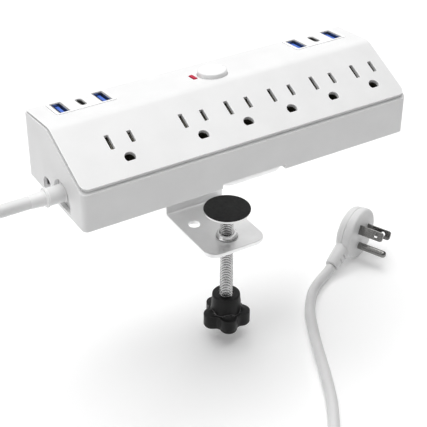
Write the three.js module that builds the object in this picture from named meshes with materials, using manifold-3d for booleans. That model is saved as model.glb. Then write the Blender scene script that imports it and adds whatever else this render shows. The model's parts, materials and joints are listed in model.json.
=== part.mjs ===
// Desk power strip: six grounded outlets on a slanted front, two USB modules and a power button on
// the top deck, a cord with a flat round plug, and a C-shaped desk clamp under the housing.
//
// Millimetres. +X runs along the strip, -Y is the outlets' side, +Z is up. The origin is on the
// underside, at the centre of the strip, where the desk's top is. The clamp reaches below it.

import * as THREE from 'three';
import { mergeVertices } from 'three/addons/utils/BufferGeometryUtils.js';
import Module from 'manifold-3d';

const wasm = await Module();
wasm.setup();

// ---- Driving dimensions -------------------------------------------------------------------------

const GAP = 0.3; // between pieces that touch
const WALL = 2.2;
const ROUND = 28; // sides of a full circle
const SMALL_ROUND = 12;

const LENGTH = 207.4;
const DEPTH = 68.4;
const CORNER = { front: 3, back: 1.5 }; // plan radii of the vertical corners
const RIM_DROP = { panel: 3, deck: 1.3 }; // the housing's walls end this far under the cover's faces

const COVER_INSET = 0.6; // the cover stands this far inside the housing's outline
const COVER_LIP = 0.6; // thickness of the cover's edge, above the shadow groove
const COVER_FRONT_Z = 25.4; // where the slanted panel starts
const RIDGE = { y: 3.8, z: 43.4, r: 10 };
const DECK_FALL = 0.1; // the deck falls this much per mm towards the back
const BAND = { inset: 0.8, top: 0.95, panel: 2.6, deck: 0.9, back: -28.4 }; // under the lip, at the front
const TONGUE = { inset: 2.5, wall: 1.7, deep: 6, back: 28 }; // under the cover, inside the walls

const OUTLETS_X = [-70.3, -26.05, 2.4, 30.85, 59.3, 87.75];
const SLOT = { down: 18.2, apart: 12.7, width: 2.5, neutral: 9.3, line: 7.5 };
const GROUND_HOLE = { down: 30.1, r: 3.1, flat: 2.1 };
const OUTLET_DEEP = 6; // how far the outlet openings are cut below the panel

const MODULES_X = [-74.8, 78.4];
const BEZEL = { length: 35, width: 16.4, y: 24.4, r: 1.2, proud: 0.3 };
const USB_A = { offset: 12.5, width: 5.8, length: 13.3, wall: 0.45, deep: 13.5 };
const USB_C = { width: 3.2, length: 8.9, wall: 0.35, deep: 9 };

const BUTTON = { x: 2.6, y: 15.8, r: 8.5, proud: 2.7, dish: 3.2 };
const INDICATOR = { x: -8.8, y: 17.6, width: 2.3, length: 6.2 };

const BRACKET = { width: 40, sheet: 2.5, front: -33.6, back: 34.3, throat: 55, reach: -20.2 };
const BRACKET_SCREW = { x: 10.4, y: 14.6 };
const SCREW_AXIS = { x: 0, y: -6 };
const SCREW_R = 4;
const PAD = { top: -35, rubber: 1, r: 14 };
const KNOB = {
  hubR: 8.7, hubTop: -97.5, starTop: -109.6, bottom: -119.4,
  lobes: 5, lobeR: 5.1, reach: 15, turn: 32.7, armHalf: 3.6, socket: 14,
};

const CORD_R = 3.5;
const CORD_EXIT = { x: -122, y: -8.2, z: 10.8 }; // the tip of the strain relief
const GROMMET = {
  tipR: 3.7, neckR: 4.3, taper: 8.4, ringR: 5.5, ring: 1.4, sleeveR: 4.9, inside: 25.2,
  recess: 0.8, keeperR: 11, keeper: 2,
};
const FLOOR_Z = -130; // what the cord and the plug lie on
const COIL = { x: -136, y: -102, r: 38, across: 3, high: 2 }; // turns of cord across and high
const TIE = { width: 10, sheet: 1, angle: 20 }; // the coil's strap
const PLUG = { x: 121, y: 22.5, r: 18, thick: 12, neck: 32, turn: -66, dip: 21 }; // angles in degrees

// Where the uncoiled cord runs: from the strip to the coil, and from the coil to the plug.
const LEAD_ROUTE = [
  [-122.3, -8.2, 10.8], [-136, -8.2, 10.8], [-151, -8.2, 10.5], [-165, -8.2, 7], [-176, -9, -4],
  [-180.5, -11, -22], [-181, -14, -45], [-181, -18, -70], [-181, -24, -94], [-181, -35, -113],
  [-181, -52, -124], [-181, -75.1, -126.5],
];
const TAIL_ROUTE = [
  [-109.1, -147, -126.5], [-86, -147.5, -126.5], [-62, -147.5, -126.5], [-38, -144, -126.5],
  [-17, -134.5, -126.5], [0, -120, -126.5], [14, -101, -126.5], [27, -77, -126.5],
  [38, -53, -126.5], [48.8, -31, -126.5], [56, -18.5, -126.5], [63.5, -9, -126.5],
  [69.5, -3, -126.5], [76, 1.8, -126.4], [83, 5.6, -126], [89.8, 8.6, -125], [93.2, 10.1, -123.7],
];

// ---- Making and cutting solids ------------------------------------------------------------------

function solid(geometry) {
  const bare = geometry.index ? geometry.toNonIndexed() : geometry.clone();
  bare.deleteAttribute('normal');
  bare.deleteAttribute('uv');
  const merged = mergeVertices(bare, 1e-4);
  const corners = merged.index.array;
  const triangles = [];
  for (let i = 0; i < corners.length; i += 3) {
    const [a, b, c] = corners.subarray(i, i + 3);
    if (a !== b && b !== c && c !== a) triangles.push(a, b, c);
  }
  return new wasm.Manifold(new wasm.Mesh({
    numProp: 3,
    vertProperties: new Float32Array(merged.attributes.position.array),
    triVerts: new Uint32Array(triangles),
  }));
}

function geometryOf(manifold) {
  const mesh = manifold.getMesh();
  const geometry = new THREE.BufferGeometry();
  geometry.setAttribute('position', new THREE.BufferAttribute(mesh.vertProperties, 3));
  geometry.setIndex(new THREE.BufferAttribute(mesh.triVerts, 1));
  geometry.computeVertexNormals();
  return geometry;
}

function join(first, ...others) {
  const whole = others.reduce((sum, other) => sum.add(solid(other)), solid(first));
  return geometryOf(whole);
}

function cut(base, ...tools) {
  const left = tools.reduce((rest, tool) => rest.subtract(solid(tool)), solid(base));
  return geometryOf(left);
}

function common(a, b) {
  return geometryOf(solid(a).intersect(solid(b)));
}

// ---- Basic shapes -------------------------------------------------------------------------------

function block(x0, x1, y0, y1, z0, z1) {
  return new THREE.BoxGeometry(x1 - x0, y1 - y0, z1 - z0)
    .translate((x0 + x1) / 2, (y0 + y1) / 2, (z0 + z1) / 2);
}

function cylinder(x, y, r, z0, z1, topR = r, sides = ROUND) {
  return new THREE.CylinderGeometry(topR, r, z1 - z0, sides)
    .rotateX(Math.PI / 2)
    .translate(x, y, (z0 + z1) / 2);
}

// A closed outline whose corners [u, v, radius] are rounded by arcs.
function outline(corners) {
  const shape = new THREE.Shape();
  const count = corners.length;
  corners.forEach(([u, v, r = 0], i) => {
    const at = new THREE.Vector2(u, v);
    const [pu, pv] = corners[(i + count - 1) % count];
    const [nu, nv] = corners[(i + 1) % count];
    const back = new THREE.Vector2(pu, pv).sub(at).normalize();
    const on = new THREE.Vector2(nu, nv).sub(at).normalize();
    const half = Math.acos(THREE.MathUtils.clamp(back.dot(on), -1, 1)) / 2;
    if (r === 0) {
      if (i === 0) shape.moveTo(u, v);
      else shape.lineTo(u, v);
      return;
    }
    const along = r / Math.tan(half);
    const start = at.clone().addScaledVector(back, along);
    const end = at.clone().addScaledVector(on, along);
    const centre = at.clone().addScaledVector(back.clone().add(on).normalize(), r / Math.sin(half));
    const from = Math.atan2(start.y - centre.y, start.x - centre.x);
    const to = Math.atan2(end.y - centre.y, end.x - centre.x);
    const clockwise = back.x * on.y - back.y * on.x > 0;
    if (i === 0) shape.moveTo(start.x, start.y);
    else shape.lineTo(start.x, start.y);
    shape.absarc(centre.x, centre.y, r, from, to, clockwise);
  });
  shape.closePath();
  return shape;
}

function rectangle(u0, u1, v0, v1, r = 0) {
  return outline([[u0, v0, r], [u1, v0, r], [u1, v1, r], [u0, v1, r]]);
}

function extrudeZ(shape, z0, z1, curveSegments = 4) {
  return new THREE.ExtrudeGeometry(shape, { depth: z1 - z0, bevelEnabled: false, curveSegments })
    .translate(0, 0, z0);
}

// The outline is in Y and Z.
function extrudeX(shape, x0, x1, curveSegments = 4) {
  const turn = new THREE.Matrix4().makeBasis(
    new THREE.Vector3(0, 1, 0), new THREE.Vector3(0, 0, 1), new THREE.Vector3(1, 0, 0));
  return new THREE.ExtrudeGeometry(shape, { depth: x1 - x0, bevelEnabled: false, curveSegments })
    .applyMatrix4(turn)
    .translate(x0, 0, 0);
}

function tube(route, r, steps, sides) {
  const section = new THREE.Shape();
  for (let i = 0; i < sides; i += 1) {
    const angle = (2 * Math.PI * i) / sides;
    if (i === 0) section.moveTo(r, 0);
    else section.lineTo(r * Math.cos(angle), r * Math.sin(angle));
  }
  section.closePath();
  const path = new THREE.CatmullRomCurve3(route.map((p) => new THREE.Vector3(...p)), false, 'centripetal');
  return new THREE.ExtrudeGeometry(section, { steps, extrudePath: path, bevelEnabled: false });
}

// ---- The two tilted faces -----------------------------------------------------------------------

const PANEL_ANGLE = Math.atan2(RIDGE.z - COVER_FRONT_Z, RIDGE.y + DEPTH / 2 - COVER_INSET);
const DECK_ANGLE = -Math.atan(DECK_FALL);

// A local frame on the ridge: X along the strip, Y up the slope towards the back, Z out of the face.
function onFace(geometry, angle) {
  return geometry.applyMatrix4(
    new THREE.Matrix4().makeRotationX(angle).setPosition(0, RIDGE.y, RIDGE.z));
}

const onPanel = (geometry) => onFace(geometry, PANEL_ANGLE);
const onDeck = (geometry) => onFace(geometry, DECK_ANGLE);
const deckV = (y) => (y - RIDGE.y) / Math.cos(DECK_ANGLE); // distance up the deck of a place at y

// ---- Materials ----------------------------------------------------------------------------------

function material(color, roughness, metalness = 0) {
  return new THREE.MeshStandardMaterial({ color, roughness, metalness, flatShading: true });
}

const LOOKS = {
  white: () => material(0xf1f1f0, 0.45),
  port: () => material(0xf7f7f7, 0.35),
  black: () => material(0x1f2022, 0.55),
  rubber: () => material(0x161616, 0.85),
  steel: () => material(0xc4c6c8, 0.35, 0.9),
  nickel: () => material(0x8a8781, 0.3, 0.9),
  brass: () => material(0xc2a25a, 0.35, 0.9),
  blue: () => material(0x1f4fb0, 0.4),
  red: () => material(0xd02a24, 0.2),
  board: () => material(0x2f6b45, 0.5),
  coating: () => material(0x2c5fa8, 0.5),
  wire: () => material(0x2b2b2b, 0.5),
};

const strip = new THREE.Group();

function add(name, geometry, look, parent = strip) {
  const mesh = new THREE.Mesh(geometry, look());
  mesh.name = name;
  parent.add(mesh);
  return mesh;
}

// ---- Housing ------------------------------------------------------------------------------------

const LEAST_CORNER = 0.8;

// The strip's outline seen from above, moved in by a distance.
function plan(inset) {
  const x = LENGTH / 2 - inset;
  const y = DEPTH / 2 - inset;
  const front = Math.max(CORNER.front - inset, LEAST_CORNER);
  const back = Math.max(CORNER.back - inset, LEAST_CORNER);
  return outline([[-x, -y, front], [x, -y, front], [x, y, back], [-x, y, back]]);
}

// Everything under the slanted panel and the deck, each lowered by a distance square to its face.
function underFaces(panelDrop, deckDrop = panelDrop) {
  const front = -DEPTH / 2 + COVER_INSET;
  const rise = Math.tan(PANEL_ANGLE);
  const panelFall = panelDrop / Math.cos(PANEL_ANGLE);
  const deckFall = deckDrop / Math.cos(DECK_ANGLE);
  const panelZ = (y) => COVER_FRONT_Z + (y - front) * rise - panelFall;
  const deckZ = (y) => RIDGE.z - DECK_FALL * (y - RIDGE.y) - deckFall;
  const ridgeY = RIDGE.y + (panelFall - deckFall) / (rise + DECK_FALL);
  return extrudeX(outline([
    [DEPTH, -DEPTH], [DEPTH, deckZ(DEPTH)], [ridgeY, deckZ(ridgeY), RIDGE.r - panelDrop],
    [-DEPTH, panelZ(-DEPTH)], [-DEPTH, -DEPTH],
  ]), -LENGTH, LENGTH);
}

const SCREW_PLACES = [[-97.9, -24], [97.9, -24], [-97.9, 24], [97.9, 24]];
const SEAM_Z = 14.3; // where the housing's screw posts end and the cover's begin
const POST = { housingR: 4.2, coverR: 3, boreR: 1.9, pilotR: 1.8, pilotTop: 24.5, sides: 16 };
const COUNTERBORE = { r: 3.4, top: 2.6 };
const PLATEAU = { half: 24, top: 5.4 }; // thick floor above the bracket's recess
const NUT_BOSS = { r: 3.6, low: 4, top: 12, threadR: 2.3, threadTop: 11 };
const RECESS_SIDE = 0.5; // clearance on each side of the bracket in its recess
const CORD_NOTCH = { r: 10, top: 18 }; // the cord's opening in the left end wall
const VENT_NOTCH = { y0: 5.2, y1: 15.6, top: 10.4 };
const ABOVE = RIDGE.z + 5; // clear above the whole housing
const CLEAR = 3; // how far a cutting tool stands out of the face it cuts

// An opening in the left end wall, straight below and round above.
function archway(y0, y1, z0, top, x0, x1) {
  const r = (y1 - y0) / 2;
  return extrudeX(outline([[y0, z0], [y1, z0], [y1, top, r - 0.01], [y0, top, r - 0.01]]), x0, x1);
}

function bottomHousing() {
  const whole = common(extrudeZ(plan(0), 0, ABOVE), underFaces(RIM_DROP.panel, RIM_DROP.deck));
  const tray = cut(whole, extrudeZ(plan(WALL), WALL, ABOVE));
  const posts = SCREW_PLACES.map(([x, y]) => (
    cylinder(x, y, POST.housingR, 1, SEAM_Z, POST.housingR, POST.sides)));
  const plateau = block(-PLATEAU.half, PLATEAU.half, -DEPTH / 2 + 1, DEPTH / 2 - 1, 1, PLATEAU.top);
  const atNut = (side, r, low, top, sides) => (
    cylinder(side * BRACKET_SCREW.x, BRACKET_SCREW.y, r, low, top, r, sides));
  const nuts = [-1, 1].map((side) => atNut(side, NUT_BOSS.r, NUT_BOSS.low, NUT_BOSS.top, POST.sides));
  const threads = [-1, 1].map((side) => (
    atNut(side, NUT_BOSS.threadR, 0, NUT_BOSS.threadTop, SMALL_ROUND)));
  const holes = SCREW_PLACES.flatMap(([x, y]) => [
    cylinder(x, y, COUNTERBORE.r, -1, COUNTERBORE.top),
    cylinder(x, y, POST.boreR, COUNTERBORE.top - 1, SEAM_Z + 1, POST.boreR, SMALL_ROUND)]);
  const recess = block(-BRACKET.width / 2 - RECESS_SIDE, BRACKET.width / 2 + RECESS_SIDE,
    -DEPTH, DEPTH, -1, BRACKET.sheet + GAP);
  const end = -LENGTH / 2;
  const cordNotch = archway(CORD_EXIT.y - CORD_NOTCH.r, CORD_EXIT.y + CORD_NOTCH.r, WALL,
    CORD_NOTCH.top, end - 1, end + WALL + 1);
  const ventNotch = archway(VENT_NOTCH.y0, VENT_NOTCH.y1, -1, VENT_NOTCH.top, end - 1, end + WALL + 1);
  return cut(join(tray, plateau, ...posts, ...nuts), ...holes, ...threads, recess, cordNotch, ventNotch);
}

function outletCuts(x) {
  const half = SLOT.apart / 2;
  const { down, r, flat } = GROUND_HOLE;
  const slot = (centre, length) => block(centre - SLOT.width / 2, centre + SLOT.width / 2,
    -SLOT.down - length / 2, -SLOT.down + length / 2, -OUTLET_DEEP, CLEAR);
  const ground = cut(cylinder(x, -down, r, -OUTLET_DEEP, CLEAR, r, 20),
    block(x - 2 * r, x + 2 * r, -down - 2 * r, -down - flat, -OUTLET_DEEP - 1, CLEAR + 1));
  return [slot(x - half, SLOT.neutral), slot(x + half, SLOT.line), ground].map(onPanel);
}

// A lid of one sheet bent over the ridge, with a lip that rests over the housing's rim. Under the
// lip a band shows along the front, and a tongue goes down inside the walls.
function topCover() {
  const layer = (shallow, deep, inset) => common(cut(shallow, deep), extrudeZ(plan(inset), 0, ABOVE));
  const inLip = underFaces(COVER_LIP / 2);
  const lip = layer(underFaces(0), underFaces(COVER_LIP), COVER_INSET);
  const skin = layer(inLip, underFaces(WALL), TONGUE.inset);
  const band = common(layer(underFaces(BAND.top), underFaces(BAND.panel, BAND.deck), BAND.inset),
    block(-LENGTH, LENGTH, -DEPTH, BAND.back, 0, ABOVE));
  const tongue = cut(layer(inLip, underFaces(TONGUE.deep), TONGUE.inset),
    extrudeZ(plan(TONGUE.inset + TONGUE.wall), -1, ABOVE),
    block(-LENGTH, LENGTH, TONGUE.back, DEPTH, -1, ABOVE));
  const posts = SCREW_PLACES.map(([x, y]) => common(
    cylinder(x, y, POST.coverR, SEAM_Z + GAP, RIDGE.z, POST.coverR, POST.sides), inLip));
  const pilots = SCREW_PLACES.map(([x, y]) => (
    cylinder(x, y, POST.pilotR, 0, POST.pilotTop, POST.pilotR, SMALL_ROUND)));
  const windows = MODULES_X.map((x) => onDeck(extrudeZ(
    rectangle(x - BEZEL.length / 2 - GAP, x + BEZEL.length / 2 + GAP,
      deckV(BEZEL.y) - BEZEL.width / 2 - GAP, deckV(BEZEL.y) + BEZEL.width / 2 + GAP, BEZEL.r + GAP),
    -WALL - 1, CLEAR)));
  const buttonHole = onDeck(
    cylinder(BUTTON.x, deckV(BUTTON.y), BUTTON.r + GAP, -OUTLET_DEEP, CLEAR));
  const lampHole = onDeck(block(
    INDICATOR.x - INDICATOR.width / 2 - GAP, INDICATOR.x + INDICATOR.width / 2 + GAP,
    deckV(INDICATOR.y) - INDICATOR.length / 2 - GAP, deckV(INDICATOR.y) + INDICATOR.length / 2 + GAP,
    -OUTLET_DEEP, CLEAR));
  return cut(join(lip, skin, band, tongue, ...posts), ...pilots, ...windows,
    ...OUTLETS_X.flatMap(outletCuts), buttonHole, lampHole);
}

add('bottom_housing', bottomHousing(), LOOKS.white);
add('top_cover', topCover(), LOOKS.white);

const HOUSING_SCREW = { headR: 3, headLow: 0.3, headTop: 2.3, shankR: 1.5, top: 23.8 };
const DRIVE = { half: 2, halfWidth: 0.4, top: 0.9 };
SCREW_PLACES.forEach(([x, y], i) => {
  const { headR, headLow, headTop, shankR, top } = HOUSING_SCREW;
  const driveSlot = block(x - DRIVE.half, x + DRIVE.half, y - DRIVE.halfWidth, y + DRIVE.halfWidth,
    0, DRIVE.top);
  add(`housing_screw_${i + 1}`, cut(join(
    cylinder(x, y, headR, headLow, headTop, headR, 16),
    cylinder(x, y, shankR, headTop - 0.8, top, shankR, 8)),
  driveSlot), LOOKS.steel);
});

// ---- Outlet contacts ----------------------------------------------------------------------------

const CLIP = { top: -3, bottom: -10, width: 3.6, length: 8, gap: 1.6, end: 1.5 };
const BUS = { top: -5, bottom: -12, sheet: 1.2, start: OUTLETS_X[0] - 9, end: 96 };
const PIN_CLIP = { outer: 4.2, inner: 3.1, bar: 3.3 };

// A strip along all the outlets with a sprung clip under each slot. side is the slot's side.
function bladeBus(side, stripV) {
  const pieces = OUTLETS_X.map((outlet) => {
    const x = outlet + (side * SLOT.apart) / 2;
    const inner = stripV < -SLOT.down ? stripV : stripV + BUS.sheet;
    const outer = -SLOT.down + (stripV < -SLOT.down ? CLIP.length : -CLIP.length) / 2;
    const low = Math.min(inner, outer);
    const high = Math.max(inner, outer);
    return cut(
      block(x - CLIP.width / 2, x + CLIP.width / 2, low, high, CLIP.bottom, CLIP.top),
      block(x - CLIP.gap / 2, x + CLIP.gap / 2, low + CLIP.end, high - CLIP.end,
        CLIP.bottom + CLIP.end, CLIP.top + 1));
  });
  const bar = block(BUS.start, BUS.end, stripV, stripV + BUS.sheet, BUS.bottom, BUS.top);
  return onPanel(join(bar, ...pieces));
}

function groundBus() {
  const clips = OUTLETS_X.map((x) => cut(
    cylinder(x, -GROUND_HOLE.down, PIN_CLIP.outer, BUS.bottom, CLIP.top, PIN_CLIP.outer, SMALL_ROUND),
    cylinder(x, -GROUND_HOLE.down, PIN_CLIP.inner, BUS.bottom - 1, CLIP.top + 1, PIN_CLIP.inner,
      SMALL_ROUND)));
  const v = -GROUND_HOLE.down + PIN_CLIP.bar;
  const bar = block(BUS.start, OUTLETS_X[5] + PIN_CLIP.outer, v, v + BUS.sheet, BUS.bottom, BUS.top);
  return onPanel(join(bar, ...clips));
}

const NEUTRAL_BAR_V = -SLOT.down + 5.2;
const LINE_BAR_V = -SLOT.down - 6.2;
add('neutral_bus', bladeBus(-1, NEUTRAL_BAR_V), LOOKS.brass);
add('line_bus', bladeBus(1, LINE_BAR_V), LOOKS.brass);
add('ground_bus', groundBus(), LOOKS.brass);

// ---- USB modules --------------------------------------------------------------------------------

function slotOutline(x, v, width, length) {
  return rectangle(x - width / 2, x + width / 2, v - length / 2, v + length / 2, width / 2 - 0.01);
}

const BEZEL_SKIRT = { half: 16.1, front: 7.8, back: 6.2, deep: 7 };
const PORT_DEEP = 10; // how far the port openings are cut into the bezel
const PORT_TOP = -0.2; // where the ports' shells end, under the bezel's face
const TONGUE_TOP = -1.5;
const USB_A_TONGUE = { left: 0.6, right: 1.3, half: 5.5, base: -10.5 };
const USB_C_TONGUE = { halfWidth: 0.35, half: 3.2, floor: 1.5 };
const BOARD_SHEET = 1.6;

function usbModule(x, number) {
  const v = deckV(BEZEL.y);
  const ports = [x - USB_A.offset, x + USB_A.offset];
  const portCut = (at) => extrudeZ(rectangle(at - USB_A.width / 2 - GAP, at + USB_A.width / 2 + GAP,
    v - USB_A.length / 2 - GAP, v + USB_A.length / 2 + GAP), -PORT_DEEP, CLEAR);
  const plate = join(
    extrudeZ(rectangle(x - BEZEL.length / 2, x + BEZEL.length / 2, v - BEZEL.width / 2,
      v + BEZEL.width / 2, BEZEL.r), -COVER_LIP, BEZEL.proud),
    block(x - BEZEL_SKIRT.half, x + BEZEL_SKIRT.half, v - BEZEL_SKIRT.front, v + BEZEL_SKIRT.back,
      -BEZEL_SKIRT.deep, -COVER_LIP / 2));
  const middleCut = extrudeZ(
    slotOutline(x, v, USB_C.width + 2 * GAP, USB_C.length + 2 * GAP), -PORT_DEEP, CLEAR);
  add(`usb_bezel_${number}`, onDeck(cut(plate, ...ports.map(portCut), middleCut)), LOOKS.port);

  ports.forEach((at, i) => {
    const shell = cut(
      block(at - USB_A.width / 2, at + USB_A.width / 2, v - USB_A.length / 2, v + USB_A.length / 2,
        -USB_A.deep, PORT_TOP),
      block(at - USB_A.width / 2 + USB_A.wall, at + USB_A.width / 2 - USB_A.wall,
        v - USB_A.length / 2 + USB_A.wall, v + USB_A.length / 2 - USB_A.wall, -USB_A.deep - 1, 1));
    add(`usb_a_shell_${number}${'ab'[i]}`, onDeck(shell), LOOKS.steel);
    const inside = USB_A.wall + GAP;
    const tongue = join(
      block(at - USB_A.width / 2 + inside, at + USB_A.width / 2 - inside,
        v - USB_A.length / 2 + inside, v + USB_A.length / 2 - inside, -USB_A.deep, USB_A_TONGUE.base),
      block(at - USB_A_TONGUE.left, at + USB_A_TONGUE.right, v - USB_A_TONGUE.half,
        v + USB_A_TONGUE.half, USB_A_TONGUE.base - 0.5, TONGUE_TOP));
    add(`usb_a_tongue_${number}${'ab'[i]}`, onDeck(tongue), LOOKS.blue);
  });

  const shell = cut(extrudeZ(slotOutline(x, v, USB_C.width, USB_C.length), -USB_C.deep, PORT_TOP),
    extrudeZ(slotOutline(x, v, USB_C.width - 2 * USB_C.wall, USB_C.length - 2 * USB_C.wall),
      -USB_C.deep + USB_C_TONGUE.floor, 1));
  const post = join(shell, block(x - USB_C_TONGUE.halfWidth, x + USB_C_TONGUE.halfWidth,
    v - USB_C_TONGUE.half, v + USB_C_TONGUE.half, -USB_C.deep + 1, TONGUE_TOP));
  add(`usb_c_port_${number}`, onDeck(post), LOOKS.steel);

  const board = block(x - 16, x + 16, v - 7.5, v + 6,
    -USB_A.deep - GAP - BOARD_SHEET, -USB_A.deep - GAP);
  const riser = block(x - 3, x + 3, v - 4, v + 4, -USB_A.deep - 1, -USB_C.deep - GAP);
  add(`usb_board_${number}`, onDeck(join(board, riser)), LOOKS.board);
}

MODULES_X.forEach((x, i) => usbModule(x, i + 1));

// ---- Power button, switch and indicator ---------------------------------------------------------

const KEY = { stemR: 2.5, low: -7, flange: 0.5, flangeLow: -4.5, flangeTop: -3.2 };
const SWITCH = { half: 7.5, front: 6, back: 6.5, low: -24, top: -9.2 };
const TAB = { apart: 5, half: 1, halfThick: 0.4, low: -27 };
const LAMP_FOOT = { half: 1.9, halfLength: 4, thick: 1.2 };
const LAMP_TOP = 0.4;

// A cap with a dished middle, a flange that keeps it under the deck, and a stem down to the switch.
function powerButton() {
  const { r, proud, dish } = BUTTON;
  const profile = [
    [0, KEY.low], [KEY.stemR, KEY.low], [KEY.stemR, KEY.flangeLow], [r + KEY.flange, KEY.flangeLow],
    [r + KEY.flange, KEY.flangeTop], [r, KEY.flangeTop], [r, proud - 1], [r - 0.4, proud - 0.35],
    [r - 1.2, proud], [dish + 0.3, proud], [dish - 0.2, proud - 0.35], [0, proud - 0.5],
  ].map(([radius, z]) => new THREE.Vector2(radius, z));
  return onDeck(new THREE.LatheGeometry(profile, ROUND)
    .rotateX(Math.PI / 2)
    .translate(BUTTON.x, deckV(BUTTON.y), 0));
}

function switchBody() {
  const v = deckV(BUTTON.y);
  const body = block(BUTTON.x - SWITCH.half, BUTTON.x + SWITCH.half,
    v - SWITCH.front, v + SWITCH.back, SWITCH.low, SWITCH.top);
  const tabs = [-TAB.apart, 0, TAB.apart].map((x) => (
    block(BUTTON.x + x - TAB.half, BUTTON.x + x + TAB.half, v - TAB.halfThick, v + TAB.halfThick,
      TAB.low, SWITCH.low + 1)));
  return onDeck(join(body, ...tabs));
}

add('power_button', geometryOf(solid(powerButton())), LOOKS.port);
add('switch_body', switchBody(), LOOKS.black);

function indicatorLens() {
  const { x, width, length } = INDICATOR;
  const v = deckV(INDICATOR.y);
  const window = extrudeZ(
    rectangle(x - width / 2, x + width / 2, v - length / 2, v + length / 2, 0.4), -WALL - 1, LAMP_TOP);
  const foot = block(x - LAMP_FOOT.half, x + LAMP_FOOT.half, v - LAMP_FOOT.halfLength,
    v + LAMP_FOOT.halfLength, -WALL - GAP - LAMP_FOOT.thick, -WALL - GAP);
  return onDeck(join(window, foot));
}

add('indicator_lens', indicatorLens(), LOOKS.red);

// ---- Surge protection and wires -----------------------------------------------------------------

const BOARD_Z = PLATEAU.top + GAP;
const BOARD_NOTCH_R = 4.5; // clear of the nut bosses
const VARISTOR = { r: 6.5, thick: 4.4, y: 20, middle: 7.5, legs: 3, legHalf: 0.4, legLength: 5 };
const VARISTORS_X = [-44, -36, -28];

add('surge_board', cut(block(-56, 48, -6, 30, BOARD_Z, BOARD_Z + BOARD_SHEET),
  ...[-1, 1].map((side) => (
    cylinder(side * BRACKET_SCREW.x, BRACKET_SCREW.y, BOARD_NOTCH_R, 0, BOARD_Z + CLEAR)))), LOOKS.board);
VARISTORS_X.forEach((x, i) => {
  const { r, thick, y, middle, legHalf, legLength } = VARISTOR;
  const low = BOARD_Z + BOARD_SHEET + GAP;
  const disc = new THREE.CylinderGeometry(r, r, thick, 24)
    .rotateZ(Math.PI / 2)
    .translate(x, y, low + middle);
  const legs = [y - VARISTOR.legs, y + VARISTOR.legs].map((at) => (
    block(x - legHalf, x + legHalf, at - legHalf, at + legHalf, low, low + legLength)));
  add(`varistor_${i + 1}`, join(disc, ...legs), LOOKS.coating);
});

const WIRE_R = 1.3;
const WIRES = {
  wire_line_in: [[-96, -8.2, 14], [-88, -6, 14], [-74, 4, 12], [-60, 10, 9.5], [-50, 10, 9.4]],
  wire_neutral_in: [[-96, -5, 9], [-86, -2, 9], [-74, 14, 9.4], [-60, 24, 9.4], [-52, 26, 9.4]],
  wire_ground_in: [[-96, -11.4, 9], [-90, -16, 9], [-84, -20, 12], [-81.5, -20.5, 16]],
  wire_line_out: [[44, -2, 9.3], [56, -4, 9.3], [76, -8, 12], [90, -10, 15]],
  wire_neutral_out: [[40, 20, 9.3], [60, 12, 10], [84, 4, 18], [92, 0, 23]],
};
Object.entries(WIRES).forEach(([name, route]) => {
  add(name, tube(route, WIRE_R, 10, 8), LOOKS.wire);
});

// ---- Cord grommet -------------------------------------------------------------------------------

// Moulded on the cord: a flange in the wall's notch, a keeper behind the wall, and outside it a
// sleeve, a ring and a taper down to the cord.
function grommet() {
  const end = -LENGTH / 2;
  const flange = archway(CORD_EXIT.y - CORD_NOTCH.r + GAP, CORD_EXIT.y + CORD_NOTCH.r - GAP, WALL + GAP,
    CORD_NOTCH.top - GAP, end + GROMMET.recess, end + WALL + 2 * GAP);
  const keeper = archway(CORD_EXIT.y - GROMMET.keeperR, CORD_EXIT.y + GROMMET.keeperR, WALL + GAP,
    CORD_NOTCH.top + 1.5, end + WALL + GAP, end + WALL + GAP + GROMMET.keeper);
  const { sleeveR, ringR, neckR, tipR, taper, ring, inside } = GROMMET;
  const profile = [
    [0, 0], [tipR, 0], [neckR, taper], [ringR - 0.3, taper + 0.1], [ringR, taper + 0.4],
    [ringR, taper + ring - 0.4], [ringR - 0.3, taper + ring - 0.1], [sleeveR, taper + ring],
    [sleeveR, inside], [0, inside],
  ].map(([r, along]) => new THREE.Vector2(r, along));
  const sleeve = new THREE.LatheGeometry(profile, 32)
    .rotateZ(-Math.PI / 2)
    .translate(CORD_EXIT.x, CORD_EXIT.y, CORD_EXIT.z);
  return join(flange, keeper, sleeve);
}

add('cord_grommet', grommet(), LOOKS.white);

// ---- Desk clamp ---------------------------------------------------------------------------------

const BEND = { inner: 1.5, outer: 4 };
const UPPER_CORNER = 7; // plan radii of the bracket's two ends
const LOWER_CORNER = 8;
const MIDDLE_Z = -20; // a height between the bracket's two flanges
const ACCESS_R = 3.65; // holes for a screwdriver, under the two screws
const SINK = { wide: 4.5, narrow: 2.3 };
const NUT_HOLE_R = 5;

function clampBracket() {
  const { sheet, back, front, reach, throat } = BRACKET;
  const low = -throat - sheet;
  const channel = extrudeX(outline([
    [front, 0], [back - sheet, 0, BEND.inner], [back - sheet, -throat, BEND.inner], [reach, -throat],
    [reach, low], [back, low, BEND.outer], [back, sheet, BEND.outer], [front, sheet],
  ]), -BRACKET.width / 2, BRACKET.width / 2);
  const half = BRACKET.width / 2;
  const roundedEnd = (y, r, z0, z1) => extrudeZ(
    outline([[-half, y, r], [half, y, r], [half, back + CLEAR], [-half, back + CLEAR]]), z0, z1);
  const rounded = common(channel, join(
    roundedEnd(front, UPPER_CORNER, MIDDLE_Z, sheet + CLEAR),
    roundedEnd(reach, LOWER_CORNER, low - CLEAR, MIDDLE_Z)));
  const access = [-1, 1].map((side) => cylinder(
    side * BRACKET_SCREW.x, BRACKET_SCREW.y, ACCESS_R, low - CLEAR, -throat + CLEAR));
  const sinks = [-1, 1].map((side) => cylinder(
    side * BRACKET_SCREW.x, BRACKET_SCREW.y, SINK.wide, -0.01, sheet + 0.01, SINK.narrow));
  const nutHole = cylinder(SCREW_AXIS.x, SCREW_AXIS.y, NUT_HOLE_R, low - CLEAR, -throat + CLEAR);
  return cut(rounded, ...access, ...sinks, nutHole);
}

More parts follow.
